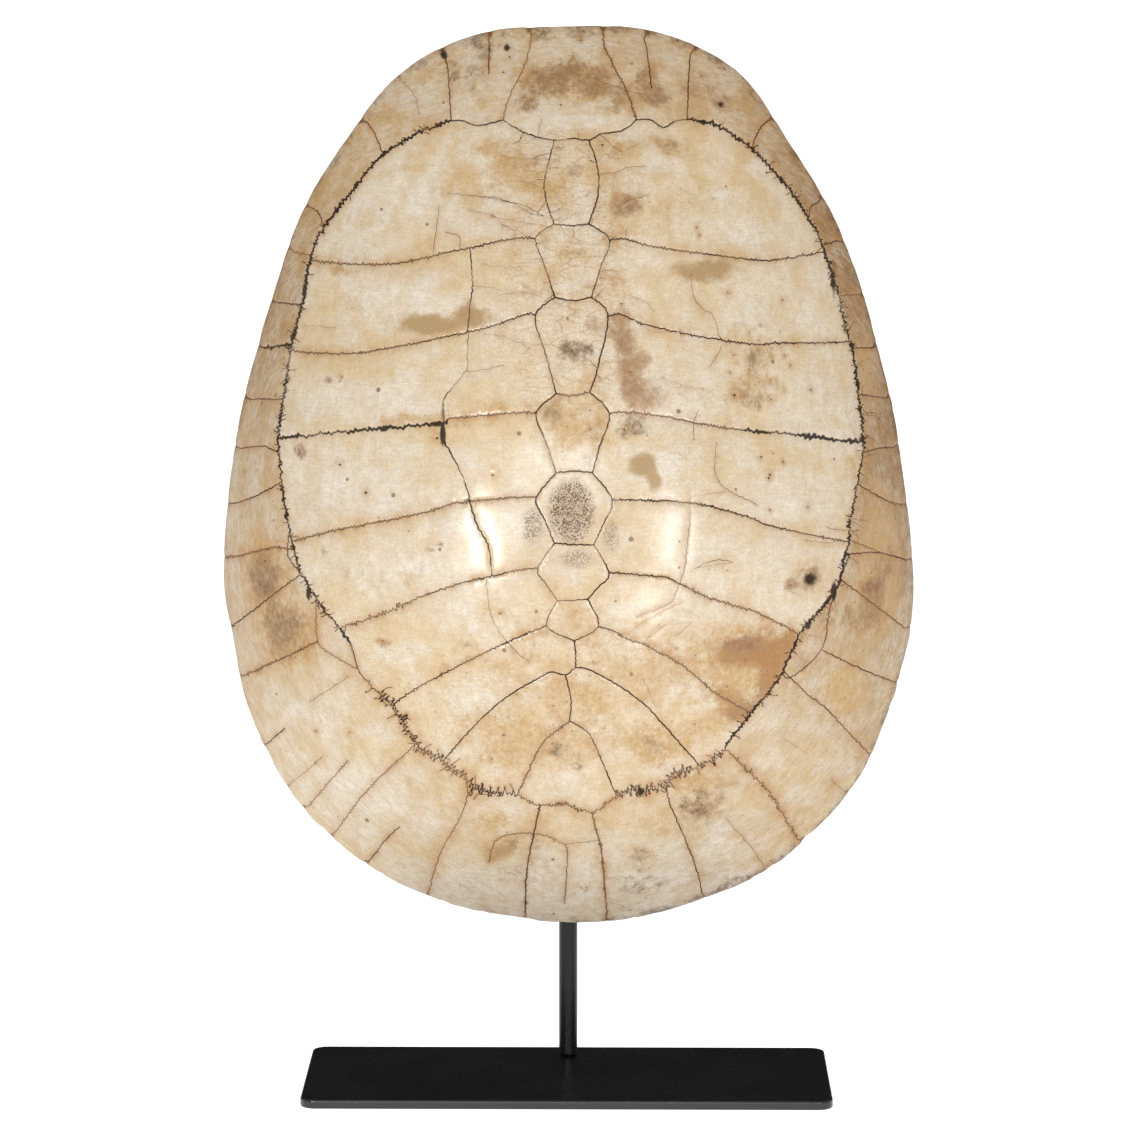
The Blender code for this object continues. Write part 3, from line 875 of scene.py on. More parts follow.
rim_left = rim_wear(rim_angles)
rim_x = rim_left * rim_radius(rim_angles) * np.cos(rim_angles)
rim_z = rim_left * rim_radius(rim_angles) * np.sin(rim_angles)
print("rim wear, mm:", round(float((1 - rim_left).max() * 260), 2))

# %% Triangulate one sheet
def to_rim(line):
    """A seam that reaches the rim ends exactly on one of the rim's own points."""
    inside = rim_share(line[:, 0], line[:, 1]) < 0.986
    if inside.all():
        return line
    kept = line[inside] if inside[0] else line[inside][::-1]
    nearest_rim = np.hypot(rim_x - kept[-1, 0], rim_z - kept[-1, 1]).argmin()
    return np.vstack([kept, [(rim_x[nearest_rim], rim_z[nearest_rim])]])


def sheet_points(lines, spacing):
    """All points and fixed edges of a sheet, seen from the front."""
    spots, _ = seam_samples(lines)
    tree = tree_of(spots)
    points = [np.stack([rim_x, rim_z], axis=1)]
    edges = [(k, (k + 1) % RIM_POINTS) for k in range(RIM_POINTS)]
    start = RIM_POINTS
    for line, _ in lines:
        points.append(line)
        edges += [(start + k, start + k + 1) for k in range(len(line) - 1)]
        start += len(line)
    beside = lips(lines, tree)
    points.append(beside[rim_share(beside[:, 0], beside[:, 1]) < 0.991])
    taken = tree_of(np.vstack(points))
    xs, zs = even_rings(spacing)
    gap, _ = nearest(taken, xs, zs)
    room = (gap > 0.52 * spacing) & (rim_share(xs, zs) < 0.985)
    points.append(np.stack([xs[room], zs[room]], axis=1))
    return np.vstack(points), edges


def triangulate(points, edges):
    """Joins the points into triangles, with every seam kept as an edge."""
    found, _, faces, *_ = delaunay_2d_cdt([Vector(p) for p in points], edges, [], 1, 1e-3)
    return np.array([(v.x, v.y) for v in found]), faces


print("rim points:", RIM_POINTS)

# %% [markdown]
# ## Relief: grooves, soft plates, pits
# The flat sheet is lifted onto the dome, and each point then moves a little along the dome's own
# outward direction. A seam sinks into a V, the plates swell gently between seams, the whole shell
# is slightly uneven so that its shine breaks up, and small pits and the worn porous patch on the
# fifth neural are sunk in.

# %% Pits and the porous patch
# the pits: across, up, radius and depth in mm
PITS = [
    (-134, 37, 1.6, 1.0), (-49, 52, 1.3, 0.8), (135, 49, 1.4, 0.8), (135, 26, 1.2, 0.7),
    (-44, -39, 1.2, 0.7), (-50, -140, 1.2, 0.6), (-106, -158, 1.1, 0.6), (-171, -130, 1.4, 0.7),
    (-147, -128, 1.6, 0.8), (-172, -154, 1.2, 0.6), (-123, -61, 1.2, 0.6), (-152, 54, 1.4, 0.8),
    (-206, -17, 1.2, 0.6), (-5, 291, 1.3, 0.8), (-40, 322, 1.2, 0.6), (-58, 312, 1.1, 0.5),
    (23, 265, 1.3, 0.7), (80, 262, 1.2, 0.6), (-50, 219, 1.1, 0.5), (49, -224, 1.2, 0.6),
    (38, -254, 1.1, 0.5), (162, -22, 5.2, 1.6), (149, -25, 1.6, 0.5), (86, 211, 1.0, 0.5),
    (88, 206, 1.0, 0.5), (-47, 330, 1.0, 0.5), (161, 26, 1.5, 0.8), (-9, -200, 1.2, 0.6),
    (111, 128, 1.1, 0.5), (121, 118, 1.3, 0.6), (135, 111, 1.2, 0.5), (149, 119, 1.0, 0.5),
    (163, 102, 1.2, 0.6), (107, 168, 1.4, 0.8), (144, 162, 1.4, 0.8), (137, 126, 1.1, 0.6),
    (145, 126, 1.0, 0.6), (108, 117, 1.0, 0.5), (111, 102, 1.6, 0.8), (136, 98, 1.5, 0.8),
    (129, 61, 1.4, 0.7), (144, 57, 1.3, 0.7), (134, 47, 1.3, 0.7), (112, 41, 1.2, 0.7),
    (36, 163, 1.2, 0.7), (42, 119, 1.0, 0.6), (38, 82, 1.6, 0.7), (160, 4, 1.2, 0.6),
    (-44, 312, 1.2, 0.6), (-54, 322, 1.5, 0.7), (-40, 328, 1.2, 0.6), (8, 333, 1.4, 0.7),
    (103, 290, 1.8, 0.8), (90, 309, 1.3, 0.6), (-5, 291, 1.2, 0.6), (9, -237, 1.2, 0.7),
    (13, -237, 1.2, 0.7), (100, 83, 1.1, 0.5), (-86, 75, 2.0, 0.5),
]
# the porous patch: across, up, half width, half height in mm, strength
PATCHES = [(3, 29, 15, 20, 1.0), (-22, 19, 8, 13, 0.55), (6, -2, 13, 7, 0.5), (29, 13, 6, 11, 0.55)]
# the blots of black dirt: across, up, half width, half height in mm
BLOTS = [
    (-54, 327, 2, 3), (-42, 328, 2.5, 3), (-64, 331, 3, 2), (-85, 322, 3, 2), (103, 290, 3, 2.5),
    (-189, 127, 5, 2.5), (-186, 135, 2.5, 6), (-184, 3, 5, 2), (-174, -34, 2, 5),
    (179, -33, 2.2, 8), (161, -54, 3, 4), (-82, 91, 2.2, 8), (-82, 78, 2.2, 9),
    (49, -163, 2.2, 5), (193, 128, 2.5, 2.5), (199, 66, 3, 1.8), (180, 172, 2.6, 14),
    (-179, 165, 2, 6), (162, -22, 5.6, 4.8), (-86, 84, 5, 2),
]


def patch_share(xs, zs):
    """1 in the middle of the porous patch, falling to 0 at its uneven edge."""
    shares = []
    for x, z, wide, high, strength in PATCHES:
        far = np.hypot((xs - x) / wide, (zs - z) / high)
        shares.append(strength * np.clip((1.3 - far) / 0.7, 0, 1))
    return np.max(shares, axis=0)


FINE_SPACING = 1.45     # mm


def extra_points():
    """Points that give each pit a floor and an edge, and the patch a finer mesh."""
    spots = []
    for x, z, size, _ in PITS:
        spots.append((x, z))
        for ring, count in ((0.55, 6), (1.0, 9)):
            spots += [(x + ring * size * math.cos(2 * math.pi * k / count),
                       z + ring * size * math.sin(2 * math.pi * k / count)) for k in range(count)]
    for x, z, wide, high in [p[:4] for p in PATCHES] + BLOTS:
        columns = int(1.2 * wide / FINE_SPACING) + 1
        rows = int(1.2 * high / FINE_SPACING) + 1
        for row in range(-rows, rows + 1):
            for column in range(-columns, columns + 1):
                across = (column + 0.5 * (row % 2)) * FINE_SPACING
                spots.append((x + across + dice.uniform(-0.35, 0.35),
                              z + row * FINE_SPACING + dice.uniform(-0.35, 0.35)))
    spots = np.array(spots)
    return spots[rim_share(spots[:, 0], spots[:, 1]) < 0.98]

# %% Lift a sheet onto the dome
def smooth_step(t):
    """0 below 0, 1 above 1, and a soft S between."""
    t = np.clip(t, 0, 1)
    return t * t * (3 - 2 * t)


def rolling(xs, zs, size, seed):
    """A soft random swell of about -1 to 1, with humps the given distance apart."""
    return np.array([noise.noise((x / size, z / size, seed)) for x, z in zip(xs, zs)]) * 1.6


def seam_field(xs, zs, tree, looks):
    """Distance to the nearest seam and how deep, dark and rusty it is there."""
    index, gap = nearest(tree, xs, zs)
    look = looks[index]
    near = 1 - smooth_step(gap / look[:, WIDTH])
    return gap, near, look


def relief(xs, zs, gap, near, look):
    """How far the outer side stands over the smooth dome, in mm."""
    high = -look[:, DEPTH] * near
    high += 0.22 * (1 - np.exp(-gap / 4.0))     # the plates swell between their seams
    high += 0.24 * rolling(xs, zs, 46.0, 3.0) + 0.06 * rolling(xs, zs, 17.0, 7.0)
    high += 0.02 * rolling(xs, zs, 6.0, 11.0)
    for x, z, size, deep in PITS:
        high -= deep * (1 - smooth_step(np.hypot(xs - x, zs - z) / size))
    inside = patch_share(xs, zs)
    high -= inside * (0.25 + 0.55 * np.abs(rolling(xs, zs, 2.3, 5.0)))
    return high


def on_dome(xs, zs, lift):
    """Places in mm: the dome's own surface, moved outward by lift."""
    base = np.stack([xs, dome_y(xs, zs), CROWN_Z + zs], axis=1)
    return base + dome_normal(xs, zs) * lift[:, None]


OUTER_SPACING, INNER_SPACING = 3.15, 4.4     # mm between points away from the seams
outer_lines = [(to_rim(line), look) for line, look in network.lines]
outer_points, outer_edges = sheet_points(outer_lines, OUTER_SPACING)
outer_flat, outer_faces = triangulate(np.vstack([outer_points, extra_points()]), outer_edges)
ox, oz = outer_flat[:, 0], outer_flat[:, 1]
samples, sample_looks = seam_samples(outer_lines)
gap, near, look = seam_field(ox, oz, tree_of(samples), sample_looks)
outer_lift = relief(ox, oz, gap, near, look)
outer_at = on_dome(ox, oz, outer_lift)
print("outer sheet:", len(outer_flat), "points", len(outer_faces), "faces")
print("relief, mm:", round(outer_lift.min(), 2), "to", round(outer_lift.max(), 2))

# %% [markdown]
# ## The hollow side
# Behind, a turtle's shell shows its skeleton: a row of spool-shaped vertebrae down the middle,
# rib heads that bridge from them to the plates, and low ribs that fan out to the rim. The same
# sheet method makes it, with plain seams and a wider scatter, and the ribs are raised in its
# relief. Where the two felt pads rest, the bone is ground flat.

# %% Ribs and vertebrae of the inner side
# for each pair of ribs: height at the spine, height at its far end, how far it reaches across
RIBS = [(238, 215, 168), (180, 157, 180), (124, 95, 190), (65, 32, 190),
        (14, -28, 168), (-32, -82, 135), (-63, -126, 100), (-95, -155, 56)]
JOINTS = [268, 214, 166, 105, 54, 8, -30, -57, -78, -112]   # where one vertebra meets the next
RIB_HIGH, HEAD_HIGH, BODY_HIGH = 3.2, 6.5, 9.5     # mm that ribs, their heads and vertebrae stand
PAD_SEATS = [438 - CROWN_Z, 258 - CROWN_Z]         # the two felt pads rest here


def bone_thickness(xs, zs):
    """The wall's thickness in mm, which grows towards the rim."""
    share = rim_share(xs, zs)
    rim = (RIM_THICK - BONE_THICK) * np.clip((share - 0.8) / 0.2, 0, None) ** 2
    return BONE_THICK + rim


def inner_relief(xs, zs):
    """How far the inner side stands out into the hollow, over the plain wall."""
    high = np.zeros_like(xs)
    for spine, far, reach in RIBS:
        line = spine + (far - spine) * np.clip(np.abs(xs) / reach, 0, 1) ** 1.4
        across = np.exp(-((zs - line) / 8.5) ** 2)
        far_end = smooth_step((np.abs(xs) / reach - 0.86) / 0.2)
        along = smooth_step((np.abs(xs) - 12) / 22) * (1 - far_end)
        head = np.exp(-((zs - line) / 4.2) ** 2) * np.exp(-((np.abs(xs) - 15) / 9.0) ** 2)
        high += RIB_HIGH * across * along + HEAD_HIGH * head
    spool = np.min(np.abs(zs[:, None] - np.array(JOINTS)[None, :]), axis=1)
    swell = np.exp(-(spool / 6.0) ** 2)
    span = smooth_step((276 - zs) / 8) * smooth_step((zs + 150) / 40)
    half = 4.4 + 2.2 * swell
    body = np.clip(1 - (xs / (half * 1.9)) ** 2, 0, None) ** 0.6
    high += (BODY_HIGH + 3.0 * swell) * body * span
    high += 2.0 * np.exp(-(xs / 17.0) ** 2) * span
    for seat in PAD_SEATS:
        high *= smooth_step((np.hypot(xs, zs - seat) - 18.0) / 10.0)
    return high + 0.5 * rolling(xs, zs, 30.0, 21.0) + 0.3 * rolling(xs, zs, 9.0, 23.0)


INNER_SEAM = KINDS["pale"]
inner_net = Network()
for kind, points in RING + SPINE + COSTALS + RIM_SEAMS:
    if kind == "hair":
        continue
    if kind in ("comb", "saw", "black", "ring"):
        kind = "edge"
    inner_net.add(kind, points)
inner_net.lines = [(to_rim(line), INNER_SEAM) for line, _ in inner_net.lines]
inner_points, inner_edges = sheet_points(inner_net.lines, INNER_SPACING)
inner_flat, inner_faces = triangulate(inner_points, inner_edges)
ix, iz = inner_flat[:, 0], inner_flat[:, 1]
inner_samples, inner_looks = seam_samples(inner_net.lines)
inner_gap, inner_near, inner_look = seam_field(ix, iz, tree_of(inner_samples), inner_looks)
inner_calm = 1 - smooth_step((rim_share(ix, iz) - 0.93) / 0.06)
inner_lift = inner_relief(ix, iz) * inner_calm - inner_look[:, DEPTH] * inner_near
inner_at = on_dome(ix, iz, -bone_thickness(ix, iz) - inner_lift)
print("inner sheet:", len(inner_flat), "points", len(inner_faces), "faces")

# %% [markdown]
# ## One closed shell
# The two sheets become one piece. The edge of the outer sheet is extruded in five rows that bend
# round the rim, which gives the worn, rounded lip of old bone, and the last row is bridged to the
# edge of the inner sheet. Faces of the inner sheet are turned to look into the hollow.

# %% Join the two sheets
def add_sheet(bm, at, faces, flip):
    """Puts one sheet's points and triangles into the bmesh."""
    verts = [bm.verts.new(p * MM) for p in at]
    for a, b, c in faces:
        bm.faces.new((verts[a], verts[c], verts[b]) if flip else (verts[a], verts[b], verts[c]))
    return verts


bm = bmesh.new()
outer_verts = add_sheet(bm, outer_at, outer_faces, False)
inner_verts = add_sheet(bm, inner_at, inner_faces, True)
outer_rim_verts = set(outer_verts[:RIM_POINTS])
outer_edge = [e for e in bm.edges if e.is_boundary and e.verts[0] in outer_rim_verts]
print("open edges, outer:", len(outer_edge))

# %% The rounded rim
RIM_ROWS = 5
RIM_BULGE = 2.7      # mm that the rounded rim stands past the two sheets
back_x, back_z = rim_x * 0.985, rim_z * 0.985
rim_slope = dome_y(rim_x, rim_z) - dome_y(back_x, back_z)
outward = np.stack([rim_x - back_x, rim_slope, rim_z - back_z], axis=1)
outward /= np.linalg.norm(outward, axis=1, keepdims=True)
row = {v: k for k, v in enumerate(outer_verts[:RIM_POINTS])}
edges = outer_edge
rim_row_points = []
for step in range(1, RIM_ROWS + 1):
    turn = math.pi * step / (RIM_ROWS + 1)
    share = (1 - math.cos(turn)) / 2
    bulge = RIM_BULGE * math.sin(turn)
    made = bmesh.ops.extrude_edge_only(bm, edges=edges)["geom"]
    new_verts = [g for g in made if isinstance(g, bmesh.types.BMVert)]
    fresh = set(new_verts)
    next_row = {}
    for v in new_verts:
        k = next(row[e.other_vert(v)] for e in v.link_edges if e.other_vert(v) in row)
        v.co = Vector((outer_at[k] * (1 - share) + inner_at[k] * share + outward[k] * bulge) * MM)
        next_row[v] = k
        rim_row_points.append((k, share))
    edges = [g for g in made if isinstance(g, bmesh.types.BMEdge) and fresh.issuperset(g.verts)]
    row = next_row
inner_rim_verts = set(inner_verts[:RIM_POINTS])
inner_edge = [e for e in bm.edges if e.is_boundary and e.verts[0] in inner_rim_verts]
bmesh.ops.bridge_loops(bm, edges=edges + inner_edge)
bmesh.ops.triangulate(bm, faces=[f for f in bm.faces if len(f.verts) > 3])
bm.normal_update()
print("open edges left:", sum(e.is_boundary for e in bm.edges), "triangles:", len(bm.faces))
print("volume, litres:", round(bm.calc_volume(signed=True) * 1000, 3))

# %% [markdown]
# ## Stains, tones and the flat map
# The shell is ivory in the middle, honey brown round the rim, with old stains here and there, and
# pale patches that are partly bleached bone and partly painted light.
# Each point of the mesh carries a few numbers that say how much of each tone it has. The finish
# reads them later and breaks their edges up with its own fine patterns, so no stain looks drawn.
# The flat map lays the two sides out next to each other.

# %% Where the stains are
# for each kind of stain: across, up, half width, half height in mm, strength
STAINS = {
    "brown": [
        (-16, 304, 17, 10, .75), (18, 306, 15, 11, .65), (4, 314, 20, 9, .6), (-27, 291, 10, 7, .6),
        (35, 298, 9, 7, .55), (29, 288, 8, 6, .45), (58, 297, 13, 10, .65), (52, 310, 10, 8, .45),
        (-20, 252, 9, 8, .3), (40, 226, 13, 8, .6), (4, 245, 5, 11, .35), (103, 290, 8, 6, .7),
        (90, 302, 22, 10, .35), (36, 138, 10, 10, .5), (40, 112, 10, 10, .4),
        (122, 101, 20, 11, .35), (-10, 90, 9, 12, .45), (16, 80, 9, 12, .35), (122, -62, 22, 9, .4),
        (118, -107, 15, 8, .5), (130, -97, 6, 14, .5), (156, -77, 11, 12, .35),
        (92, -178, 20, 16, .5), (-207, -28, 13, 18, .9), (-192, -62, 17, 21, .75),
        (62, -134, 9, 6, .2), (105, -158, 12, 9, .3), (207, -44, 10, 14, .6),
        (176, -48, 10, 10, .4), (149, -25, 7, 6, .6), (54, -128, 10, 6, .3), (49, -212, 9, 7, .5),
        (-32, -200, 13, 6, .4), (-16, -202, 11, 6, .35), (-64, -61, 10, 4, .4),
        (125, 126, 20, 12, .35), (170, 230, 16, 22, .3), (215, 60, 14, 26, .35),
        (213, 100, 12, 22, .3), (198, -55, 20, 20, .35), (214, -20, 14, 16, .35),
        (-33, -222, 28, 16, .25), (68, 262, 14, 8, .3),
    ],
    "grey": [
        (-67, 307, 15, 12, .3), (-84, 313, 11, 8, .3), (6, 133, 13, 10, .45), (41, 84, 13, 12, .6),
        (86, -174, 14, 10, .35), (-205, -34, 8, 10, .35), (-190, -56, 9, 10, .3),
        (162, -22, 8, 8, .75), (-5, -131, 8, 6, .45), (7, -141, 4, 12, .45), (15, -73, 6, 5, .4),
        (12, -240, 9, 6, .35), (46, -235, 26, 10, .3), (120, -240, 30, 8, .4), (-4, 336, 50, 5, .3),
        (-60, 326, 16, 6, .35),
    ],
    "ochre": [
        (-50, 264, 16, 8, .55), (-39, 252, 13, 9, .45), (-19, 236, 11, 14, .45),
        (35, 261, 16, 8, .5), (60, 266, 20, 7, .45), (30, 238, 10, 12, .4), (5, 190, 14, 20, .4),
        (0, 232, 10, 16, .4), (122, 104, 26, 14, .5), (30, 175, 12, 14, .5), (-71, 87, 22, 7, .55),
        (-106, 84, 26, 8, .5), (-44, 96, 16, 6, .35), (108, -60, 22, 12, .6),
        (104, -112, 16, 9, .6), (184, -98, 20, 18, .5), (-205, -24, 22, 28, .9),
        (-191, -66, 24, 28, .8), (62, -132, 20, 13, .6), (88, -160, 30, 10, .5),
        (205, -50, 20, 26, .6), (190, -112, 16, 20, .5), (-52, -185, 17, 12, .5),
        (60, -188, 15, 11, .45), (-41, -122, 10, 8, .3), (-24, -130, 12, 8, .3),
        (56, -218, 12, 10, .4), (-5, -92, 10, 16, .55), (14, -96, 10, 12, .4),
        (-40, -42, 10, 6, .3), (-153, 180, 10, 4, .6), (-146, 158, 12, 6, .4),
        (-160, 24, 22, 8, .3), (-150, 10, 24, 6, .35), (4, 140, 17, 34, .3), (2, 80, 13, 20, .2),
        (5, -45, 12, 10, .35), (88, -120, 18, 10, .35), (2, 306, 42, 20, .7),
        (212, -14, 18, 50, .7), (60, -62, 44, 26, .3), (-44, -130, 34, 24, .5),
        (4, -128, 22, 22, .45), (204, 110, 12, 40, .5), (58, -130, 28, 16, .5),
        (0, -86, 130, 46, .36), (2, -34, 20, 16, .35), (2, 84, 18, 18, .5), (126, -80, 40, 28, .9),
        (200, 60, 14, 30, .4), (118, 142, 30, 12, .3), (20, 90, 14, 26, .4),
        (-120, -20, 40, 12, .25), (70, 226, 60, 16, .3), (-60, 240, 40, 20, .3),
        (30, 205, 12, 10, .35),
    ],
    "olive": [
        (-93, 148, 20, 7, .9), (-64, 154, 13, 8, .75), (50, 59, 10, 8, .95), (58, 48, 5, 8, .7),
        (92, 183, 27, 8, .7), (-46, -211, 13, 10, .5), (-122, -62, 7, 4, .6), (14, 62, 12, 10, .3),
    ],
    "tan": [
        (33, 152, 9, 9, .7), (38, 140, 10, 12, .8), (51, 129, 9, 6, .7), (43, 122, 11, 12, .8),
        (45, 106, 14, 13, .8), (58, 100, 10, 8, .65), (16, 150, 7, 7, .6), (-66, 158, 7, 9, .5),
    ],
    "rust": [
        (-180, 60, 5, 6, .5), (118, -62, 16, 6, .5), (124, -108, 9, 5, .6), (205, -33, 9, 8, .5),
        (-91, 2, 4, 2, .7), (-84, 6, 3, 2, .6), (128, 146, 3, 2, .6), (142, 142, 3, 2, .6),
        (-152, 111, 2, 4, .8), (-162, 108, 6, 3, .5), (-148, -18, 4, 6, .4), (-163, -3, 4, 6, .4),
    ],
    "amber": [
        (130, -68, 34, 14, 1), (146, -74, 13, 14, 1), (134, -94, 9, 14, .9), (140, -88, 9, 12, .9),
        (119, -108, 17, 9, 1), (100, -96, 14, 7, .6),
    ],
    # the pale patches are partly bleached bone and partly painted light: those round the fifth
    # neural near the crown paint a highlight glow, and those along the lower rim paint light onto
    # the lower side
    "pale": [
        (0, 50, 44, 34, .35), (-34, 24, 20, 30, .6), (-4, 58, 22, 14, .6), (70, 60, 30, 50, .45),
        (100, 220, 50, 24, .3), (-120, 225, 46, 24, .4), (-120, 160, 40, 18, .65),
        (-136, 36, 44, 18, .85), (-120, -12, 40, 18, .5), (84, 100, 34, 24, .6),
        (-124, 96, 46, 18, .85), (-96, -36, 40, 14, .4), (140, 34, 44, 20, .8),
        (80, -30, 30, 30, .4), (-70, -120, 30, 22, .4), (60, -140, 24, 16, .35),
        (-150, -180, 40, 20, .4), (4, -246, 130, 34, 1), (-142, -176, 30, 34, .8),
        (70, -215, 50, 34, .5), (0, 322, 60, 14, .5), (-80, 290, 20, 16, .4), (80, 305, 20, 16, .4),
        (-70, -235, 30, 16, .3), (4, -50, 16, 16, .3), (4, 283, 28, 9, .9),
    ],
}
# how brown the rim is in each direction, from 88 degrees once round; the low values along the bottom
# partly keep the lower rim pale as painted light
RIM_TAN = {88: .20, 98: .22, 108: .24, 118: .30, 126: .38, 135: .56, 146: .58, 155: .48, 166: .38,
           176: .34, 186: .28, 197: .30, 207: .18, 217: .08, 227: .02, 240: .12, 255: .18, 270: .06,
           285: .12, 300: .20, 315: .24, 325: .36, 335: .46, 345: .56, 355: .68, 364: .72, 374: .76,
           384: .80, 395: .80, 405: .80, 415: .74, 425: .48, 436: .30, 448: .20}
print("stains:", sum(len(spots) for spots in STAINS.values()))

# %% Work out every tone at every point
ring_path = np.vstack([smooth_line(points) for _, points in RING])
ring_angle = np.unwrap(np.arctan2(ring_path[:, 1], ring_path[:, 0]))
ring_angle -= 2 * np.pi * np.floor(ring_angle[0] / (2 * np.pi))
order = np.argsort(ring_angle % (2 * np.pi))
ring_at = (ring_angle % (2 * np.pi))[order]
ring_far = np.hypot(ring_path[:, 0], ring_path[:, 1])[order]


def blob(xs, zs, x, z, wide, high, crispness):
    """1 at the middle of an oval spot, falling away round it."""
    return np.exp(-1.1 * (((xs - x) / wide) ** 2 + ((zs - z) / high) ** 2) ** crispness)


def tones(xs, zs):
    """The share of each stain, and of rim brown, at each place. No stain crosses the ring."""
    angle = np.arctan2(zs, xs) % (2 * np.pi)
    edge = np.interp(angle, ring_at, ring_far, period=2 * np.pi)
    outside = smooth_step((np.hypot(xs, zs) - edge) / 7.0 + 0.5)
    turned = np.degrees(angle) + 360 * (np.degrees(angle) < min(RIM_TAN))
    amount = np.interp(turned, list(RIM_TAN), list(RIM_TAN.values()))
    out = {name: np.zeros_like(xs) for name in sorted(STAINS)}
    for kind, spots in STAINS.items():
        for x, z, wide, high, strength in spots:
            share = strength * blob(xs, zs, x, z, wide, high, 1.3)
            way = math.atan2(z, x) % (2 * math.pi)
            ring_here = np.interp(way, ring_at, ring_far, period=2 * np.pi)
            share *= outside if math.hypot(x, z) > ring_here else 1 - outside
            out[kind] = out[kind] + share - out[kind] * share
    share = rim_share(xs, zs)
    out["rim_tan"] = outside * amount * (0.75 + 0.45 * smooth_step((share - 0.82) / 0.18))
    # honey tone, stronger towards the top; kept weak along the bottom so the lower side stays pale,
    # which partly paints light there
    out["warm"] = 0.22 + 0.35 * smooth_step((zs - 120) / 160) + 0.06 * smooth_step((-60 - zs) / 90)
    out["outside"] = outside
    return out


# the points of the outer sheet, then those of the inner one, then those of the rounded rim
rows = np.array([k for k, _ in rim_row_points])
row_share = np.array([share for _, share in rim_row_points])
all_x = np.concatenate([ox, ix, rim_x[rows]])
all_z = np.concatenate([oz, iz, rim_z[rows]])
tone = tones(all_x, all_z)
is_inner = np.concatenate([np.zeros(len(ox)), np.ones(len(ix)), row_share])


def join(outer, inner):
    """One value per point of the whole shell, blended across the rim."""
    return np.concatenate([outer, inner, outer[rows] * (1 - row_share) + inner[rows] * row_share])


print("points on the sheets and the rim:", len(ox), len(ix), len(rows))

# %% Rust beside the seams, dirt in them, the patch, the crazing and the darker rim edge
halo = np.exp(-gap / 3.2) * look[:, RUST]
for x, z, size, _ in PITS:
    halo = np.maximum(halo, 0.9 * np.exp(-((np.hypot(ox - x, oz - z) / (2.2 * size)) ** 2)))
inner_halo = np.exp(-inner_gap / 4.0) * 0.5
pit_dark = np.zeros_like(ox)
for x, z, size, deep in PITS:
    pit_floor = 1 - smooth_step(np.hypot(ox - x, oz - z) / size)
    pit_dark = np.maximum(pit_dark, min(1.0, 0.4 + deep * 0.5) * pit_floor)
for x, z, wide, high in BLOTS:
    pit_dark = np.maximum(pit_dark, 0.8 * blob(ox, oz, x, z, wide, high, 1.2))
patch = patch_share(ox, oz)
crazed = np.exp(-(ox / 52.0) ** 2) * smooth_step((oz - 60) / 60) * smooth_step((285 - oz) / 20)
crazed = np.maximum(crazed, 0.4 * np.exp(-(ox / 60.0) ** 2) * smooth_step((-30 - oz) / 40))
crazed = np.maximum(crazed, 0.55 * np.exp(-(((ox - 85) / 45) ** 2 + ((oz - 80) / 80) ** 2)))
all_share = rim_share(all_x, all_z)
# darker along the rolled rim edge, more on the right, at the top and on the lower right
dark_rim_edge = smooth_step((all_share - 0.972) / 0.03)
dark_rim_edge *= (0.18 + 0.30 * smooth_step((all_x - 150) / 60) + 0.25 * smooth_step((all_z - 180) / 100)
              + 0.45 * smooth_step((-150 - all_z) / 60) * (all_x > 0))
ink = join(np.maximum(near * look[:, DARK], pit_dark), inner_near * 0.45)
values = {
    "ink": ink * np.where(all_share > 0.985, 0.45, 1),
    "crazed": join(crazed, np.zeros_like(ix)),
    "dark_rim_edge": dark_rim_edge,
    "rusty": join(near * look[:, RUST], inner_near * 0.5),
    "halo": join(halo, inner_halo),
    "patch": join(patch, np.zeros_like(ix)),
    "inside": is_inner,
    "warm": tone.pop("warm"),
    "rim_tan": tone.pop("rim_tan") * (1 - 0.5 * is_inner),
}
outside = tone["outside"] > 0.5
values.update({name: share * (1 - is_inner) for name, share in tone.items()})
print("stain fields:", sorted(values))

# %% Finish the shell's mesh: its numbers and its grain
def store(mesh, name, numbers):
    """Keeps one number for each point of the mesh, for the finish to read."""
    layer = mesh.attributes.new(name, "FLOAT", "POINT")
    layer.data.foreach_set("value", numbers.astype(np.float32))


carapace = mesh_object("shell", bm)
mesh = carapace.data
for name, numbers in values.items():
    store(mesh, name, numbers)

# the grain runs round the shell on the rim plates and across it inside the ring
all_angle = np.arctan2(all_z, all_x)
all_far = np.hypot(all_x, all_z)
grain = np.stack([np.where(outside, all_angle * all_far, all_x), np.where(outside, all_far, all_z),
                  np.where(outside, 400.0, 0.0)], axis=1) * MM
layer = mesh.attributes.new("grain", "FLOAT_VECTOR", "POINT")
layer.data.foreach_set("vector", grain.astype(np.float32).ravel())
print("attributes:", len(mesh.attributes))

# %% The flat map, with the outer side on the left and the inner side on the right
MAP_WIDTH = 1240.0     # mm of bone across the whole flat map
OUTER_MIDDLE, INNER_MIDDLE, MAP_MIDDLE = 310, 930, 380     # mm from the map's left and lower edges
LIP = 14.0             # mm of the outer map given to the rounded rim
reach = look_up(lengths, all_angle, all_share)
reach += np.concatenate([np.zeros(len(ox) + len(ix)), row_share * LIP])


def on_map(middle, reach, way=1):
    """Places on the flat map, at their true distance from the crown. Way -1 mirrors them."""
    across = middle + way * reach * np.cos(all_angle)
    return np.stack([across, MAP_MIDDLE + reach * np.sin(all_angle)], axis=1) / MAP_WIDTH


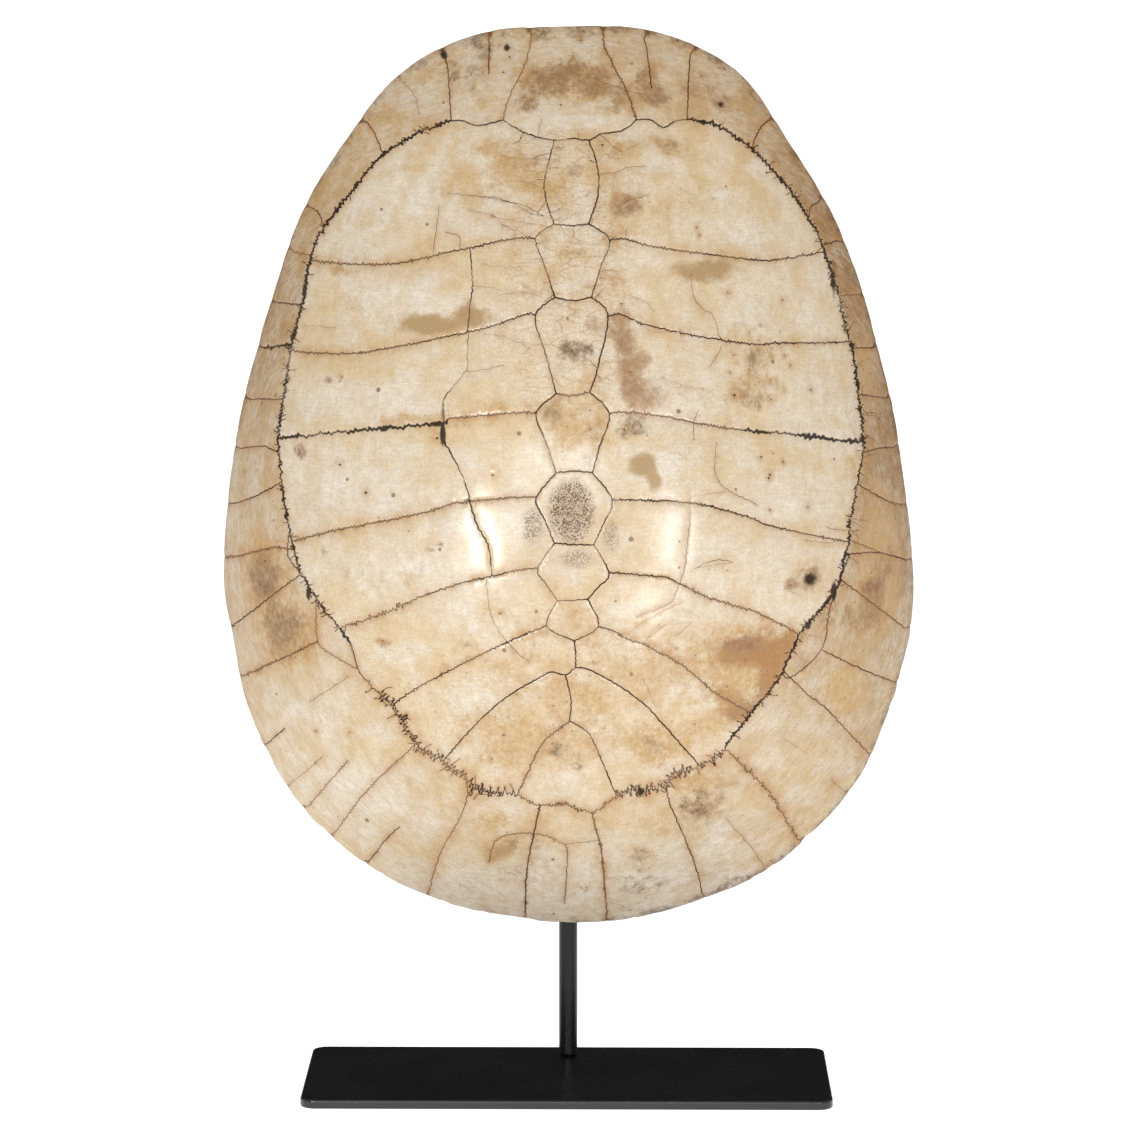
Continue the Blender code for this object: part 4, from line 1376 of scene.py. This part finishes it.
flat_outer = on_map(OUTER_MIDDLE, reach)
flat_inner = on_map(INNER_MIDDLE, reach, -1)
flat_lip = on_map(OUTER_MIDDLE, reach + LIP)
corner_vert = np.empty(len(mesh.loops), int)
mesh.loops.foreach_get("vertex_index", corner_vert)
corner_in = (corner_vert >= len(ox)) & (corner_vert < len(ox) + len(ix))
face_in = np.repeat(corner_in.reshape(-1, 3).all(axis=1), 3)
flat = np.where(corner_in[:, None], flat_lip[corner_vert], flat_outer[corner_vert])
flat = np.where(face_in[:, None], flat_inner[corner_vert], flat)
mesh.uv_layers.new(name="OFBake")
mesh.uv_layers["OFBake"].data.foreach_set("uv", flat.astype(np.float32).ravel())
mesh.polygons.foreach_set("use_smooth", np.ones(len(mesh.polygons), bool))
mesh.update()
print("shell:", len(mesh.vertices), "points,", len(mesh.polygons), "triangles, map from",
      flat.min(axis=0).round(3), "to", flat.max(axis=0).round(3))

# %% [markdown]
# ## The bone finish
# Polished old bone is ivory with a satin shine. Its colour is laid down in thin steps, palest
# first: soft clouds of cream and honey, fine fibres along the grain, rim brown, stains with broken
# edges, freckles, and at last rust and black dirt in the seams. The shine is dulled wherever the
# bone is dirty or worn, and a fine bump gives the fibres a little height.

# %% A group for fibres
fibres_group, wires, inside, out = new_group(
    "bone_fibres", [("Grain", "Vector", None), ("Fineness", "Float", 1.0)], ["Mask", "Cross"])
scaled = wires.node("ShaderNodeVectorMath", operation="SCALE")
wires.put(scaled.inputs[0], inside["Grain"])
wires.put(scaled.inputs["Scale"], inside["Fineness"])
long_way = wires.cloud(wires.stretch(scaled.outputs[0], (110, 620, 60)), 1.0, 5.0, 0.72)
wires.put(out["Mask"], wires.between(long_way, 0.40, 0.70))
cross_way = wires.cloud(wires.stretch(scaled.outputs[0], (560, 70, 60)), 1.0, 4.0, 0.68)
wires.put(out["Cross"], wires.between(cross_way, 0.42, 0.75))
print("group:", fibres_group.name)

# %% Bone: its colours, from the palest to the darkest dirt
PAINTS = {
    "ivory": (0.75, 0.665, 0.535, 1), "cream": (0.68, 0.53, 0.32, 1), "honey": (0.58, 0.37, 0.14, 1),
    "bleached": (0.74, 0.70, 0.62, 1), "cloud": (0.60, 0.42, 0.20, 1), "spot": (0.50, 0.34, 0.16, 1),
    "fibre": (0.50, 0.36, 0.19, 1), "cross_fibre": (0.54, 0.40, 0.23, 1),
    "rim": (0.37, 0.195, 0.055, 1), "rim_streak": (0.19, 0.095, 0.035, 1),
    "pale": (0.77, 0.72, 0.63, 1), "ochre": (0.50, 0.31, 0.12, 1), "amber": (0.35, 0.16, 0.032, 1),
    "olive": (0.41, 0.27, 0.12, 1), "tan": (0.36, 0.215, 0.10, 1), "brown": (0.29, 0.165, 0.07, 1),
    "grey": (0.14, 0.088, 0.045, 1), "rust": (0.24, 0.09, 0.025, 1),
    "dark_rim_edge": (0.12, 0.06, 0.03, 1), "freckle": (0.16, 0.08, 0.03, 1),
    "dust": (0.20, 0.11, 0.05, 1), "crazing": (0.30, 0.17, 0.07, 1),
    "patch": (0.47, 0.35, 0.25, 1), "pore": (0.11, 0.06, 0.032, 1),
    "hollow_pale": (0.56, 0.40, 0.22, 1), "hollow_dark": (0.42, 0.275, 0.135, 1),
    "halo": (0.41, 0.20, 0.055, 1), "rust_line": (0.13, 0.05, 0.012, 1),
    "ink_line": (0.022, 0.012, 0.006, 1),
}
print("colours:", len(PAINTS))

# %% Bone: the patterns that break the colours up
bone, wires, shader, place = new_material("old_bone")


def number(name):
    """One of the numbers that each point of the shell carries."""
    return wires.node("ShaderNodeAttribute", attribute_name=name).outputs["Fac"]


def clouds(scale, low, high, at=place):
    """A mask of soft clouds; a larger scale makes them smaller."""
    return use_group(wires, clouds_group, Place=at, Scale=scale, Low=low, High=high)["Mask"]


def specks(scale, size, share):
    """A mask of dots; share is how many of the cells hold one."""
    return use_group(wires, specks_group, Place=place, Scale=scale, Size=size, Share=share)["Mask"]


grain_place = wires.node("ShaderNodeAttribute", attribute_name="grain").outputs["Vector"]
fibres = use_group(wires, fibres_group, Grain=grain_place, Fineness=1.0)
big = clouds(13.0, 0.40, 0.62)
middle = clouds(42.0, 0.42, 0.64)
bleached = clouds(31.0, 0.46, 0.66, wires.stretch(place, (0.8, 1, 1.6)))
small = clouds(170.0, 0.34, 0.68)
tiny = wires.cloud(place, 900.0, 3.0, 0.65)
blotchy = wires.cloud(place, 75.0, 8.0, 0.72)
mottle = wires.between(wires.cloud(place, 240.0, 5.0, 0.75), 0.34, 0.62, 0.45, 1.10)
torn_edge = wires.minus(blotchy, 0.5)
print("pattern nodes:", len(bone.node_tree.nodes))

# %% Bone: two ways to lay a colour on
def paint(colour, share, name):
    """Lays a colour on by a share that is already worked out."""
    return wires.blend(share, colour, PAINTS[name])


def stained(colour, name, most=0.85, ragged=1.7, low=0.10, high=0.70, broken=mottle):
    """Lays one stain over the colour, with an edge that follows the blotchy pattern."""
    share = number(name)
    uneven = wires.plus(share, wires.times(torn_edge, ragged))
    amount = wires.times(wires.between(uneven, low, high), wires.between(share, 0.03, 0.25))
    amount = wires.times(amount, broken)
    return paint(colour, wires.times(amount, most), name)


print("a stain's edge is torn by", blotchy.node.name)

# %% Bone: ivory, cream and honey
colour = paint(PAINTS["ivory"], wires.times(big, 0.8), "cream")
colour = paint(colour, wires.times(number("warm"), wires.plus(middle, 0.22)), "honey")
colour = paint(colour, wires.times(bleached, 0.6), "bleached")
# pale patches: partly bleached bone, partly painted light (a painted highlight glow round the fifth
# neural, painted light along the lower rim)
colour = stained(colour, "pale", 0.75, 1.2, broken=1.0)
colour = paint(colour, wires.times(middle, 0.28), "cloud")
colour = paint(colour, wires.times(small, 0.32), "spot")
colour = paint(colour, wires.times(fibres["Mask"], 0.30), "fibre")
colour = paint(colour, wires.times(fibres["Cross"], 0.20), "cross_fibre")
print("nodes:", len(bone.node_tree.nodes))

# %% Bone: the brown rim
tan_share = number("rim_tan")
rim_base = wires.times(tan_share, wires.plus(wires.times(middle, 0.45), 0.45))
colour = paint(colour, rim_base, "rim")
rim_grain = wires.plus(wires.times(fibres["Mask"], 0.56), wires.times(mottle, 0.36))
colour = paint(colour, wires.times(tan_share, rim_grain), "rim_streak")
print("nodes:", len(bone.node_tree.nodes))

# %% Bone: the old stains
nearly_even = wires.between(mottle, 0, 1, 0.8, 1.0)
half_broken = wires.between(mottle, 0, 1, 0.55, 1.0)
colour = stained(colour, "ochre", 0.95)
colour = stained(colour, "amber", 1.0, 1.8, 0.06, 0.90, nearly_even)
colour = stained(colour, "olive", 1.0, 1.5, 0.10, 0.66, 1.0)
colour = stained(colour, "tan", 1.0, 1.7, 0.16, 0.85, half_broken)
colour = stained(colour, "brown", 1.0)
colour = stained(colour, "grey", 0.9, 2.4)
colour = stained(colour, "rust", 0.9)
# the darker rolled rim edge
colour = stained(colour, "dark_rim_edge", 0.7, 3.0)
print("nodes:", len(bone.node_tree.nodes))

# %% Bone: freckles, dust and grain
colour = paint(colour, wires.times(specks(95.0, 0.16, 0.11), 0.8), "freckle")
dirty = wires.larger(wires.larger(number("brown"), number("grey")), number("ochre"))
dirty = wires.larger(dirty, tan_share)
dust_share = wires.times(specks(330.0, 0.30, 0.16), wires.plus(wires.times(dirty, 0.9), 0.14))
colour = paint(colour, dust_share, "dust")
grainy = wires.between(tiny, 0.25, 0.75, 0.86, 1.10)
shade = wires.node("ShaderNodeCombineColor")
for target in shade.inputs:
    wires.put(target, grainy)
colour = wires.blend(1.0, colour, shade.outputs[0], "MULTIPLY")
print("nodes:", len(bone.node_tree.nodes))

# %% Bone: the porous patch
pores = specks(900.0, 0.72, 0.92)
colour = paint(colour, wires.times(number("patch"), 0.8), "patch")
pore_share = wires.between(wires.plus(number("patch"), torn_edge), 0.12, 0.75)
colour = paint(colour, wires.times(wires.times(pores, pore_share), 0.92), "pore")
print("nodes:", len(bone.node_tree.nodes))

# %% Bone: the net of fine crazing
def crazing(scale, stretch, darkness):
    """How dark the net of hair cracks is; the cells are drawn out by the stretch."""
    warped = wires.node("ShaderNodeVectorMath", operation="ADD")
    bend = wires.node("ShaderNodeTexNoise", noise_dimensions="3D")
    wires.put(bend.inputs["Vector"], place)
    bend.inputs["Scale"].default_value = 120.0
    bends = wires.node("ShaderNodeVectorMath", operation="SCALE")
    wires.put(bends.inputs[0], bend.outputs["Color"])
    bends.inputs["Scale"].default_value = 0.006
    wires.put(warped.inputs[0], place)
    wires.put(warped.inputs[1], bends.outputs[0])
    cells = wires.node("ShaderNodeTexVoronoi", voronoi_dimensions="3D", feature="DISTANCE_TO_EDGE")
    wires.put(cells.inputs["Vector"], wires.stretch(warped.outputs[0], stretch))
    cells.inputs["Scale"].default_value = scale
    hairs = wires.between(cells.outputs["Distance"], 0.008, 0.045, 1.0, 0.0)
    share = wires.times(hairs, wires.between(wires.plus(blotchy, number("crazed")), 0.75, 1.3))
    return wires.times(share, darkness)


colour = paint(colour, crazing(250.0, (1, 0.3, 1), 0.34), "crazing")
colour = paint(colour, crazing(110.0, (0.35, 0.3, 1.5), 0.36), "crazing")
print("nodes:", len(bone.node_tree.nodes))

# %% Bone: the hollow side, and the rust and dirt in the seams
hollow_mix = wires.blend(small, PAINTS["hollow_pale"], PAINTS["hollow_dark"])
colour = wires.blend(wires.times(number("inside"), 0.62), colour, hollow_mix)
halo_broken = wires.between(blotchy, 0.36, 0.66, 0.25, 0.95)
colour = paint(colour, wires.times(number("halo"), halo_broken), "halo")
torn = wires.times(wires.minus(tiny, 0.5), 0.5)
rust_line = wires.between(wires.plus(number("rusty"), torn), 0.16, 0.60)
colour = paint(colour, wires.times(rust_line, 0.85), "rust_line")
fading = wires.between(wires.cloud(place, 34.0, 4.0, 0.65), 0.38, 0.62, 0.50, 1.10)
ink_line = wires.between(wires.plus(wires.times(number("ink"), fading), torn), 0.16, 0.56)
colour = paint(colour, wires.times(ink_line, 0.95), "ink_line")
wires.put(shader.inputs["Base Color"], colour)
print("nodes:", len(bone.node_tree.nodes))

# %% Bone: shine and bump
# dirt and the worn rim are rougher, and the polish lies only on clean bone inside the ring
dull = wires.larger(ink_line, wires.times(number("outside"), 0.55))
rough = wires.plus(wires.times(middle, 0.10), 0.42)
rough = wires.plus(rough, wires.times(small, 0.06))
rough = wires.plus(rough, wires.times(number("inside"), 0.2))
wires.put(shader.inputs["Roughness"], wires.plus(rough, wires.times(dull, 0.4)))
bare = wires.larger(wires.larger(number("inside"), number("patch")), dull)
wires.put(shader.inputs["Coat Weight"], wires.between(bare, 0.1, 0.9, 0.85, 0.0))
bump = wires.node("ShaderNodeBump")
bump.inputs["Strength"].default_value = 0.3
bump.inputs["Distance"].default_value = 0.0003
height = wires.minus(wires.times(tiny, 0.5), wires.times(fibres["Mask"], 0.4))
height = wires.minus(height, wires.times(wires.times(pores, number("patch")), 1.5))
wires.put(bump.inputs["Height"], height)
wires.put(shader.inputs["Normal"], bump.outputs["Normal"])
set_shader(shader, IOR=1.45, Specular_IOR_Level=0.36, Coat_Roughness=0.20)

# %% Put the shell in the carapace's place
carapace.data.materials.append(bone)
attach(carapace, "root")
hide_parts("carapace")
print("bone nodes:", len(bone.node_tree.nodes))

# %% [markdown]
# ## The stand
# Plate, rod and arms are black steel with a satin, slightly brushed skin. The plate mirrors the
# lamps more strongly than the rod, so a function makes one paint for each. Screws are bright zinc
# and the pads are felt.

# %% Black steel
def black_paint(name, shine):
    """Satin black paint with brush marks; shine sets how strongly it mirrors the lamps."""
    paint, wires, shader, place = new_material(name)
    patches = use_group(wires, clouds_group, Place=place, Scale=14.0, Low=0.3, High=0.7)["Mask"]
    brushed = wires.cloud(wires.stretch(place, (12, 600, 600)), 1.0, 3.0, 0.6)
    colour = wires.blend(patches, (0.0035, 0.0033, 0.0037, 1), (0.006, 0.0055, 0.0057, 1))
    wires.put(shader.inputs["Base Color"], colour)
    rough = wires.plus(wires.times(patches, 0.05), 0.20)
    wires.put(shader.inputs["Roughness"], wires.plus(rough, wires.times(brushed, 0.08)))
    set_shader(shader, IOR=1.6, Specular_IOR_Level=shine)
    return paint


plate_paint = black_paint("plate_paint", 0.50)
rod_paint = black_paint("rod_paint", 0.22)
print("paints:", plate_paint.name, rod_paint.name)

# %% Zinc

zinc, wires, shader, place = new_material("zinc")
patches = use_group(wires, clouds_group, Place=place, Scale=260.0, Low=0.3, High=0.7)["Mask"]
colour = wires.blend(patches, (0.46, 0.46, 0.47, 1), (0.60, 0.60, 0.60, 1))
wires.put(shader.inputs["Base Color"], colour)
wires.put(shader.inputs["Roughness"], wires.plus(wires.times(patches, 0.15), 0.30))
set_shader(shader, Metallic=1.0)
print("metal:", zinc.name)

# %% Felt
felt, wires, shader, place = new_material("felt")
fuzz = wires.cloud(place, 900.0, 4.0, 0.7)
patches = use_group(wires, clouds_group, Place=place, Scale=120.0, Low=0.3, High=0.7)["Mask"]
colour = wires.blend(patches, (0.015, 0.015, 0.016, 1), (0.035, 0.034, 0.034, 1))
wires.put(shader.inputs["Base Color"], colour)
bump = wires.node("ShaderNodeBump")
bump.inputs["Distance"].default_value = 0.0008
wires.put(bump.inputs["Height"], fuzz)
wires.put(shader.inputs["Normal"], bump.outputs["Normal"])
set_shader(shader, Roughness=0.95, Sheen_Weight=0.3)
print("pads:", felt.name)

# %% Give every piece of the stand its finish
for name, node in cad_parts.items():
    if name == "carapace":
        continue
    finish = plate_paint if name == "base_plate" else rod_paint
    if "screw" in name:
        finish = zinc
    if "felt" in name:
        finish = felt
    node.data.materials.clear()
    node.data.materials.append(finish)
    print(name, "is", finish.name)

# %% The box round everything shown
low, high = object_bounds()
print("visual box, m:", [round(v, 4) for v in (*low, *high)])
